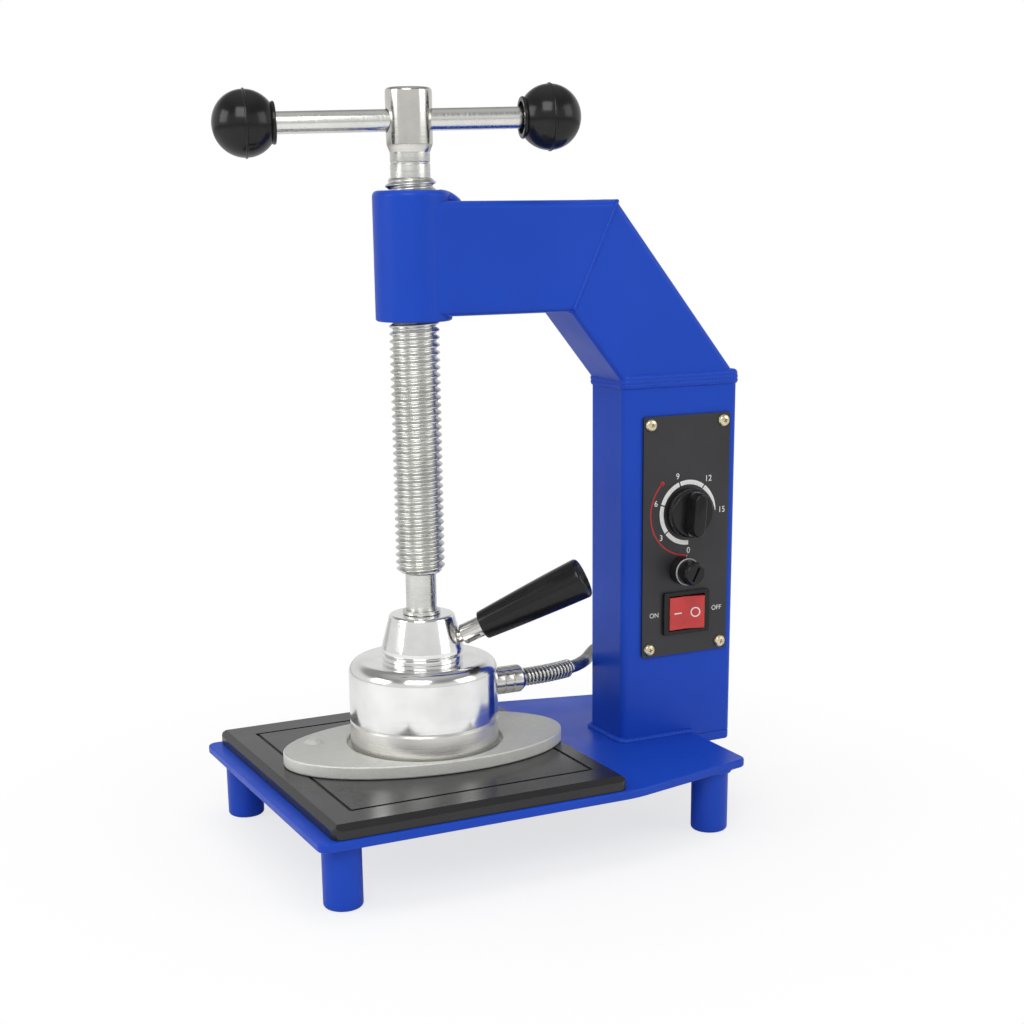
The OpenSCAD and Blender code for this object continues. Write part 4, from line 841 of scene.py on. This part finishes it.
class PRESS_OT_screw(bpy.types.Operator):
    """Press screw with its cut thread, spindle and neck"""

    bl_idname = "press.screw"
    bl_label = "Press screw"

    def execute(self, context):
        low, high, mid = span("screw")
        s = sizes()
        r = (high.x - low.x) / 2
        root = r - s.thread_depth
        start = span("swivel_socket")[1].z + s.spindle_length
        end = high.z - s.neck_length
        bm = self.thread(r, root, start, end, s.thread_pitch)
        bmesh.ops.translate(bm, vec=(mid.x, mid.y, 0), verts=bm.verts)
        top, into = high.z, 0.4 * MM
        spindle_r, flare_r, neck_r, groove_r = 8.5 * MM, 9.9 * MM, 10.5 * MM, 10.1 * MM
        spindle = [(0, low.z, 0), (spindle_r, low.z, 0.5 * MM), (spindle_r, start - 0.8 * MM, 0.6 * MM),
                   (flare_r, start + into, 0), (0, start + into, 0)]
        turn(fillet(spindle, 4), 56, place((mid.x, mid.y, 0)), bm)
        neck = [(0, end - into, 0), (neck_r, end - into, 0), (neck_r, top - 6.2 * MM, 0.2 * MM),
                (groove_r, top - 5.8 * MM, 0.2 * MM), (groove_r, top - 5.2 * MM, 0.2 * MM),
                (neck_r, top - 4.8 * MM, 0.2 * MM), (neck_r, top, 0), (0, top, 0)]
        turn(fillet(neck, 3), 56, place((mid.x, mid.y, 0)), bm)
        piece("screw_threaded", bm, "zinc_steel", "press_screw", ["screw"], angle=50)
        dressed("retaining_ring_steel", "retaining_ring", 0.2 * MM, "zinc_steel", "press_screw", 2)
        return {"FINISHED"}

    def thread(self, r, root, start, end, pitch):
        """Spins one pitch of the thread's profile up the screw, then cuts and tapers both ends."""
        steps = 40
        turns = math.ceil((end - start) / pitch) + 2
        crest = root + (r - root) * 0.9
        profile = [(root, 0), (root, 0.09), (root + (r - root) * 0.12, 0.14), (crest, 0.40), (r, 0.45),
                   (r, 0.55), (crest, 0.60), (root + (r - root) * 0.12, 0.86), (root, 0.91), (root, 1.0)]
        bm = bmesh.new()
        base = start - pitch * 1.5
        row = [bm.verts.new((a, 0, base + b * pitch)) for a, b in profile]
        edges = [bm.edges.new(pair) for pair in zip(row, row[1:])]
        bmesh.ops.spin(bm, geom=row + edges, cent=(0, 0, 0), axis=(0, 0, 1),
                       dvec=(0, 0, pitch / steps), angle=math.tau * turns,
                       steps=steps * turns, use_merge=False, use_duplicate=False)
        bmesh.ops.remove_doubles(bm, verts=bm.verts[:], dist=1e-6)
        for level, side in ((start, -1), (end, 1)):
            bmesh.ops.bisect_plane(bm, geom=bm.verts[:] + bm.edges[:] + bm.faces[:], dist=1e-7,
                                   plane_co=(0, 0, level), plane_no=(0, 0, side), clear_outer=True)
        sunk, slope = 0.6 * MM, 1.1
        for v in bm.verts:
            far = math.hypot(v.co.x, v.co.y)
            limit = min(root - sunk + (v.co.z - start) * slope, root - sunk + (end - v.co.z) * slope)
            if far > limit:
                share = limit / far
                v.co.x *= share
                v.co.y *= share
        bmesh.ops.holes_fill(bm, edges=[e for e in bm.edges if len(e.link_faces) == 1], sides=0)
        bmesh.ops.recalc_face_normals(bm, faces=bm.faces[:])
        return bm


class PRESS_OT_tommy_bar(bpy.types.Operator):
    """Hub, sliding bar and ball knobs"""

    bl_idname = "press.tommy_bar"
    bl_label = "Tommy bar"

    def execute(self, context):
        dressed("screw_hub_plated", "screw_hub", 0.35 * MM, "nickel", "press_screw")
        way = sloped(-14, 1.2)
        mid = Vector((SCREW_X, 0, span("screw_hub")[1].z - 16 * MM))
        ball_r, neck = 16.8 * MM, 15.4 * MM
        left, right = 84.7 * MM, 75 * MM
        shoulder = neck - 3 * MM
        first, last = shoulder - left, right - shoulder
        r, stud, stud_long = 5.6 * MM, 4 * MM, 18 * MM
        bar = [(0, first - stud_long, 0), (stud, first - stud_long, 0), (stud, first, 0),
               (r - 1 * MM, first, 0.2 * MM), (r, first + 1 * MM, 0.3 * MM),
               (r, last - 1 * MM, 0.3 * MM), (r - 1 * MM, last, 0.2 * MM),
               (stud, last, 0), (stud, last + stud_long, 0), (0, last + stud_long, 0)]
        bm = turn(fillet(bar, 4), 56, place(mid, way))
        bore, nut_r, nut_low, nut_high = 0.01 * MM, 7.1 * MM, -1.6 * MM, 0.5 * MM
        nut = [(bore, nut_low, 0), (nut_r, nut_low, 0.3 * MM), (nut_r, nut_high, 0.4 * MM),
               (bore, nut_high, 0)]
        for spot, look in ((first, way), (last, -way)):
            turn(fillet(nut, 3), 6, place(mid + way * spot, look), bm)
        piece("tommy_bar_steel", bm, "bar_steel", "handle_bar", ["tommy_bar"])
        for node, spot, look in (("knob_left", -left, -way), ("knob_right", right, way)):
            piece(node + "_moulded", turn(self.knob(ball_r, neck), 80, place(mid + way * spot, look)),
                  "black_plastic", "handle_bar", [node])
        return {"FINISHED"}

    def knob(self, r, neck):
        """Outline of a ball knob with its neck towards -Z, its open mouth and its moulded seam."""
        neck_r, mouth_r, bore = 10.8 * MM, 8.2 * MM, 4 * MM
        mouth_z = 3 * MM - neck
        seam, half_seam = 0.55 * MM, 0.35 * MM
        quarter, at_seam = math.pi / 2, 0.045
        start = math.asin((neck_r - 0.6 * MM) / r)
        out = [(bore, mouth_z, 0), (mouth_r, mouth_z, 0.5 * MM), (mouth_r, -neck, 0.4 * MM),
               (neck_r - 0.4 * MM, -neck, 0.4 * MM), (neck_r, 0.7 * MM - neck, 0.4 * MM),
               (neck_r - 0.2 * MM, -r * math.cos(start) - 0.6 * MM, 0.4 * MM)]
        angles = [start + (quarter - at_seam - start) * k / 16 for k in range(17)]
        out += [(r * math.sin(a), -r * math.cos(a), 0) for a in angles]
        out += [(r + seam, -half_seam, 0.2 * MM), (r + seam, half_seam, 0.2 * MM)]
        angles = [quarter + at_seam + (quarter - at_seam) * k / 24 for k in range(25)]
        out += [(r * math.sin(a), -r * math.cos(a), 0) for a in angles]
        return fillet(out, 4)


# Points that the hose follows, as the construction has them, in millimetres
HOSE_POINTS = (
    (2.1, 0, 84.4), (14.1, 0, 84.4), (31.6, 1.4, 84.4), (49.1, 7, 84), (61.35, 15.75, 83.2),
    (71.6, 26.88, 82), (77.62, 34.86, 81.2), (83.64, 42.85, 80.4), (89.89, 48.9, 80.97),
    (97.7, 52.74, 82.6), (106.31, 54, 85.03), (114.89, 52.55, 87.9), (122.61, 48.54, 90.77),
    (128.72, 42.36, 93.2), (132.65, 34.59, 94.83), (134, 26, 95.4), (134, 22.4, 95.4))
HOSE_END = len(HOSE_POINTS) - 1


def hose_point(s):
    """Place along the hose, on a smooth curve through its points."""
    pts = [Vector(p) * MM for p in HOSE_POINTS]
    i = min(HOSE_END - 1, int(s))
    t = s - i
    b, c = pts[i], pts[i + 1]
    a = 2 * b - c if i == 0 else pts[i - 1]
    d = 2 * c - b if i == HOSE_END - 1 else pts[i + 2]
    square, cube = 2 * a - 5 * b + 4 * c - d, 3 * b - a - 3 * c + d
    return 0.5 * (2 * b + (c - a) * t + square * t * t + cube * t ** 3)


def even_points(step):
    """Points at an even step along the hose."""
    fine = [hose_point(HOSE_END * k / 2000) for k in range(2001)]
    out, run = [fine[0]], 0.0
    for a, b in zip(fine, fine[1:]):
        run += (b - a).length
        if run >= step:
            out.append(b)
            run = 0.0
    return out


class PRESS_OT_conduit(bpy.types.Operator):
    """Ferrule, spring guard, braided hose and gland"""

    bl_idname = "press.conduit"
    bl_label = "Conduit"

    bore = 3.9 * MM
    shank = 5.5 * MM

    def execute(self, context):
        self.ferrule()
        self.spring()
        self.hose()
        self.gland()
        return {"FINISHED"}

    def ferrule(self):
        low, high, mid = span("conduit_ferrule")
        bore, shank, r = self.bore, self.shank, 8 * MM
        groove_r = r - 0.5 * MM
        end = high.x - low.x
        root = end - 20 * MM
        outline = [(bore, root - 6 * MM, 0), (shank, root - 6 * MM, 0), (shank, root - 1 * MM, 0),
                   (r, root - 1 * MM, 0.3 * MM)]
        for z in (root + 5.5 * MM, root + 11 * MM):
            outline += [(r, z, 0.2 * MM), (groove_r, z + 0.3 * MM, 0.15 * MM),
                        (groove_r, z + 0.9 * MM, 0.15 * MM), (r, z + 1.2 * MM, 0.2 * MM)]
        outline += [(r, end - 2.4 * MM, 0.4 * MM), (r - 1.5 * MM, end - 0.3 * MM, 0.4 * MM),
                    (4.4 * MM, end, 0.4 * MM), (bore, end - 3 * MM, 0), (bore, root - 6 * MM, 0)]
        at = place((low.x, mid.y, mid.z), (1, 0, 0))
        piece("conduit_ferrule_plated", turn(fillet(outline, 4), 72, at), "nickel", "head",
              ["conduit_ferrule"])

    def spring(self):
        s = sizes()
        wire = s.wire / 2
        reach = s.hose / 2 + 0.4 * MM + wire
        turns, per_turn = 15, 26
        path = []
        for k in range((turns - 1) * per_turn + 1):
            t = 0.5 + k / per_turn
            at = 1 + 2 * t / turns
            way = (hose_point(at + 0.01) - hose_point(at - 0.01)).normalized()
            side = UP.cross(way).normalized()
            up = way.cross(side)
            a = math.tau * t
            path.append(hose_point(at) + (side * math.cos(a) + up * math.sin(a)) * reach)
        bm = sweep(along(path), 10, lambda i, j: wire)
        piece("spring_guard_wound", bm, "zinc_steel", "head", ["spring_guard"], angle=60)

    def hose(self):
        """Braid of two sets of wires that cross, worked into the tube's surface."""
        diameter = sizes().hose
        step, lay = 0.42 * MM, 15 * MM
        sides, starts = 48, 12
        core, wire = diameter / 2 - 0.05 * MM, 0.32 * MM
        path = even_points(step)

        def radius(i, j):
            along_turns, round_turns = i * step / lay, j / sides
            one = math.sin(math.tau * starts * (round_turns + along_turns))
            two = math.sin(math.tau * starts * (round_turns - along_turns))
            return core + wire * max(one, two)

        made = piece("conduit_hose_braided", sweep(along(path), sides, radius), "braid", None,
                     ["conduit_hose"], 70)
        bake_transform(made)

    def gland(self):
        low, high, mid = span("conduit_gland")
        bore, shank, nut_bore = self.bore, self.shank, 4.6 * MM
        r, dome_r, mouth_r = (high.x - low.x) / 2, 6.6 * MM, 5.2 * MM
        back = span("column")[1].y
        top = high.y - back
        half = top * 0.5
        at = place((mid.x, back, mid.z), (0, 1, 0))
        nut = [(nut_bore, 0, 0), (r, 0, 0.5 * MM), (r, half, 0.8 * MM), (nut_bore, half, 0), (nut_bore, 0, 0)]
        dome = [(bore, half, 0), (dome_r, half, 0), (dome_r, top * 0.78, 0.6 * MM), (mouth_r, top, 0.6 * MM),
                (bore, top, 0.3 * MM), (bore, half, 0)]
        stem = [(bore, -6 * MM, 0), (shank, -6 * MM, 0.4 * MM), (shank, 0.2 * MM, 0), (bore, 0.2 * MM, 0),
                (bore, -6 * MM, 0)]
        bm = bmesh.new()
        for outline, segments, steps in ((nut, 3, 6), (dome, 5, 56), (stem, 3, 48)):
            turn(fillet(outline, segments), steps, at, bm)
        piece("conduit_gland_plated", bm, "nickel", "frame", ["conduit_gland"])


def on_panel(middle, across=0.0, up=0.0, proud=0.0):
    """Matrix of a place on the panel's face, given from the middle of a control."""
    spot = (middle.x + across, PANEL_FACE - proud, middle.z + up)
    return Matrix.Translation(spot) @ Matrix.Rotation(math.radians(90), 4, "X")


class PRESS_OT_panel(bpy.types.Operator):
    """Panel plate with its printed dial"""

    bl_idname = "press.panel"
    bl_label = "Control panel"

    def execute(self, context):
        dressed("panel_plate", "control_panel", 0.25 * MM, "panel_black", segments=2)
        self.white_print(span("timer_knob")[2], span("switch_case")[2])
        self.red_print(span("timer_knob")[2])
        return {"FINISHED"}

    def white_print(self, timer, switch):
        outer, wide, gap, lift = sizes().dial_ring, 2.6 * MM, 2.6, 0.03 * MM
        marks = (272, 217.5, 163, 108.5, 54, -0.5)
        white = bmesh.new()
        for k, (a, b) in enumerate(zip(marks, marks[1:])):
            last = k == len(marks) - 2
            self.band(white, timer, outer - wide, outer, a - (gap / 2 if k else 0),
                      b + (0 if last else gap / 2), taper=last)
        for text, angle in zip(("0", "3", "6", "9", "12", "15"), marks):
            far = outer + (4.3 if len(text) > 1 else 3.5) * MM
            a = math.radians(angle)
            at = on_panel(timer, far * math.cos(a), far * math.sin(a), lift)
            lettering(text, sizes().numeral, at, white)
        for text, across, up in (("ON", -21.3, -0.2), ("OFF", 21.7, 0.2)):
            lettering(text, 4 * MM, on_panel(switch, across * MM, up * MM, lift), white)
        self.band(white, timer, 24.6 * MM, 28 * MM, 270.2, 269.0)
        piece("panel_print_white", white, "print_white", "frame")

    def red_print(self, timer):
        start, end, dots = 134, 270, 24
        dot_r, ring_r = 1.35 * MM, 25 * MM
        red = bmesh.new()
        self.band(red, timer, 24.6 * MM, 25.5 * MM, start, end)
        turns = [math.tau * k / dots for k in range(dots)]
        a = math.radians(start)
        plate([(dot_r * math.cos(t), dot_r * math.sin(t)) for t in turns], PRINT_HEIGHT,
              on_panel(timer, ring_r * math.cos(a), ring_r * math.sin(a)), red)
        piece("panel_print_red", red, "print_red", "frame")

    def band(self, bm, middle, inner, outer, start, end, taper=False):
        """Raised band of a ring between two angles, which narrows to its end if it tapers."""
        steps = max(2, round(abs(end - start) / 3))
        rim, core = [], []
        for k in range(steps + 1):
            a = math.radians(start + (end - start) * k / steps)
            low = inner + (outer - inner) * (0.85 * (k / steps) ** 1.6 if taper else 0)
            rim.append((outer * math.cos(a), outer * math.sin(a)))
            core.append((low * math.cos(a), low * math.sin(a)))
        plate(rim + core[::-1], PRINT_HEIGHT, on_panel(middle), bm)


class PRESS_OT_panel_screws(bpy.types.Operator):
    """Cross-recessed screws of the panel"""

    bl_idname = "press.panel_screws"
    bl_label = "Panel screws"

    def execute(self, context):
        low, high, _ = span("panel_screws")
        r, shank, point = 3.6 * MM, 1.75 * MM, 1 * MM
        top = 2.2 * MM
        outline = fillet([(0, -7 * MM, 0), (point, -7 * MM, 0), (shank, -5.3 * MM, 0), (shank, 0, 0),
                          (r, 0, 0.2 * MM), (r, 0.7 * MM, 0.3 * MM), (2.9 * MM, 1.75 * MM, 1.2 * MM),
                          (1.2 * MM, top, 0.5 * MM), (0, top, 0)], 5)
        spots = [(x, z) for x in (low.x + r, high.x - r) for z in (low.z + r, high.z - r)]
        whole = bmesh.new()
        for (x, z), roll in zip(spots, (0.2, 0.9, 1.25, 0.55)):
            at = place((x, PANEL_FACE, z), TOWARDS_VIEWER)
            slots = [self.slot(at @ Matrix.Rotation(roll + quarter, 4, "Z")) for quarter in (0, math.pi / 2)]
            merge(cut(turn(outline, 40, at), slots), whole)
        piece("panel_screws_plated", whole, "screw_brass", "frame", ["panel_screws"])
        return {"FINISHED"}

    def slot(self, at):
        """One slot of the cross, narrower at its bottom."""
        tool = block(3.9 * MM, 0.85 * MM, 2.6 * MM, Matrix.Translation((0, 0, 2.35 * MM)))
        for v in tool.verts:
            if v.co.z < 2 * MM:
                v.co.x *= 0.4
                v.co.y *= 0.6
        bmesh.ops.transform(tool, matrix=at, verts=tool.verts)
        return tool


class PRESS_OT_timer(bpy.types.Operator):
    """Timer knob with its grip bar"""

    bl_idname = "press.timer"
    bl_label = "Timer"

    def execute(self, context):
        _, high, mid = span("timer_knob")
        at = place((mid.x, high.y, mid.z), TOWARDS_VIEWER)
        r, skirt_top = 14.5 * MM, 6 * MM
        skirt = fillet([(3 * MM, 0, 0), (r, 0, 0.3 * MM), (r - 0.3 * MM, 4.6 * MM, 0.4 * MM),
                        (r - 1.2 * MM, skirt_top, 0.9 * MM), (0, 6.1 * MM, 0)], 6)
        bm = turn(skirt, 96, at)
        bar = round_rectangle(10.4 * MM, 26.4 * MM, 5.1 * MM, 10)
        grip = plate(bar, 8.4 * MM, Matrix.Translation((0, 0, skirt_top)))
        for v in grip.verts:
            if v.co.z > 10 * MM:
                v.co.x *= 0.74
                v.co.y *= 0.96
        soften(grip, 1.1 * MM, 4, 25)
        bmesh.ops.transform(grip, matrix=at @ Matrix.Rotation(math.radians(-4), 4, "Z"), verts=grip.verts)
        merge(grip, bm)
        piece("timer_knob_moulded", bm, "black_plastic", "timer_dial", ["timer_knob"])
        return {"FINISHED"}


class PRESS_OT_fuse(bpy.types.Operator):
    """Fuse holder and its slotted cap"""

    bl_idname = "press.fuse"
    bl_label = "Fuse"

    def execute(self, context):
        low, high, mid = span("fuse_holder")
        at = place((mid.x, PANEL_FACE, mid.z), TOWARDS_VIEWER)
        self.holder(at, (high.x - low.x) / 2, PANEL_FACE - low.y, PANEL_FACE - high.y)
        self.cap(at)
        return {"FINISHED"}

    def holder(self, at, r, proud, back):
        bore, body_r, lip_r, axis = 2.9 * MM, 6 * MM, 7.6 * MM, 0.01 * MM
        floor, face = back + 6 * MM, proud - 0.2 * MM
        body = fillet([(bore, floor, 0), (axis, floor, 0), (axis, back, 0), (body_r, back, 0.4 * MM),
                       (body_r, 0, 0), (r, 0, 0.3 * MM), (r - 0.4 * MM, proud - 0.9 * MM, 0.4 * MM),
                       (lip_r, face, 0.2 * MM), (bore, face, 0), (bore, floor, 0)], 4)
        piece("fuse_holder_moulded", turn(body, 72, at), "black_plastic", "frame", ["fuse_holder"])
        inner, under = 7.35 * MM, proud - 1.2 * MM
        rim = fillet([(inner, under, 0), (8.05 * MM, proud - 0.7 * MM, 0.1 * MM), (7.9 * MM, proud, 0.2 * MM),
                      (7.3 * MM, proud, 0.2 * MM), (inner, under, 0)], 3)
        piece("fuse_holder_rim", turn(rim, 72, at), "grey_ring", "frame")

    def cap(self, at):
        low, high, _ = span("fuse_cap")
        r, base, top = (high.x - low.x) / 2, PANEL_FACE - high.y, PANEL_FACE - low.y
        outline = fillet([(0, base, 0), (r, base, 0.2 * MM), (r - 0.2 * MM, top - 1.6 * MM, 0.5 * MM),
                          (r - 1.3 * MM, top, 0.9 * MM), (0, top, 0)], 6)
        slot = block(9 * MM, 1.5 * MM, 2.4 * MM,
                     at @ Matrix.Rotation(math.radians(62), 4, "Z") @ Matrix.Translation((0, 0, top)))
        piece("fuse_cap_moulded", cut(turn(outline, 72, at), [slot]), "black_plastic", "fuse_carrier_cap",
              ["fuse_cap"])


class PRESS_OT_switch(bpy.types.Operator):
    """Bezel and translucent rocker"""

    bl_idname = "press.switch"
    bl_label = "Rocker switch"

    def execute(self, context):
        dressed("switch_bezel", "switch_case", 0.5 * MM, "black_plastic")
        dressed("rocker_moulded", "switch_rocker", 0.4 * MM, "rocker_red", "rocker")
        mid = span("switch_case")[2]
        pivot = Vector((mid.x, -17.5 * MM, mid.z))
        pressed, half_tilt = math.radians(-6), math.atan2(1.8, 11.3)
        on_face = Matrix.Translation(pivot) @ Matrix.Rotation(pressed, 4, "Z")
        on_face = on_face @ Matrix.Translation((0, -6 * MM, 0))
        bm = bmesh.new()
        bar = round_rectangle(5.2 * MM, 0.75 * MM, 0.2 * MM)
        plate(bar, PRINT_HEIGHT, self.mark(on_face, -5.6 * MM, half_tilt), bm)
        inner, outer = 2.3 * MM, 3.0 * MM
        hoop = [(inner, 0), (outer, 0), (outer, PRINT_HEIGHT), (inner, PRINT_HEIGHT), (inner, 0)]
        turn(hoop, 40, self.mark(on_face, 5.8 * MM, -half_tilt), bm)
        piece("rocker_marks", bm, "print_white", "rocker")
        return {"FINISHED"}

    def mark(self, on_face, across, tilt):
        """Matrix of a mark on one of the rocker's two slopes."""
        sloping = on_face @ Matrix.Rotation(tilt, 4, "Z")
        return sloping @ Matrix.Translation((across, 0, 0)) @ Matrix.Rotation(math.radians(90), 4, "X")


class PRESS_OT_inner(bpy.types.Operator):
    """Finish of the pieces that keep their construction shape"""

    bl_idname = "press.inner"
    bl_label = "Inner pieces"

    def execute(self, context):
        for node, finish in (
            ("heating_element", "zinc_steel"), ("insulating_board", "insulation"), ("thermostat", "nickel"),
            ("thrust_pad", "thrust_bronze"), ("mains_grommet", "black_rubber"), ("timer_case", "timer_white"),
            ("timer_shaft", "zinc_steel"), ("fuse", "fuse_glass"),
        ):
            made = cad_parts[node]
            if not made.material_slots:
                made.data.materials.append(FINISHES[finish])
            for slot in made.material_slots:
                slot.material = FINISHES[finish]
        return {"FINISHED"}


OPERATORS = (
    PRESS_OT_stage, PRESS_OT_welded_frame, PRESS_OT_feet, PRESS_OT_welds, PRESS_OT_pad, PRESS_OT_platen,
    PRESS_OT_head, PRESS_OT_handle, PRESS_OT_screw, PRESS_OT_tommy_bar, PRESS_OT_conduit, PRESS_OT_panel,
    PRESS_OT_panel_screws, PRESS_OT_timer, PRESS_OT_fuse, PRESS_OT_switch, PRESS_OT_inner)


class PRESS_PT_sidebar(bpy.types.Panel):
    """Lists the press's sizes, colours and pieces"""

    bl_label = "Tyre Press"
    bl_idname = "PRESS_PT_sidebar"
    bl_space_type = "VIEW_3D"
    bl_region_type = "UI"
    bl_category = "Tyre Press"

    def draw(self, context):
        for group in (context.scene.press_sizes, context.scene.press_colours):
            for key in group.__annotations__:
                self.layout.prop(group, key)
        for operator in OPERATORS:
            self.layout.operator(operator.bl_idname)


CLASSES = (PressSizes, PressColours) + OPERATORS + (PRESS_PT_sidebar,)


def register():
    for cls in CLASSES:
        bpy.utils.register_class(cls)
    bpy.types.Scene.press_sizes = bpy.props.PointerProperty(type=PressSizes)
    bpy.types.Scene.press_colours = bpy.props.PointerProperty(type=PressColours)


def unregister():
    del bpy.types.Scene.press_sizes
    del bpy.types.Scene.press_colours
    for cls in reversed(CLASSES):
        bpy.utils.unregister_class(cls)


def main():
    register()
    make_finishes()
    for operator in OPERATORS:
        group, name = operator.bl_idname.split(".")
        getattr(getattr(bpy.ops, group), name)()


if __name__ == "__main__":
    main()
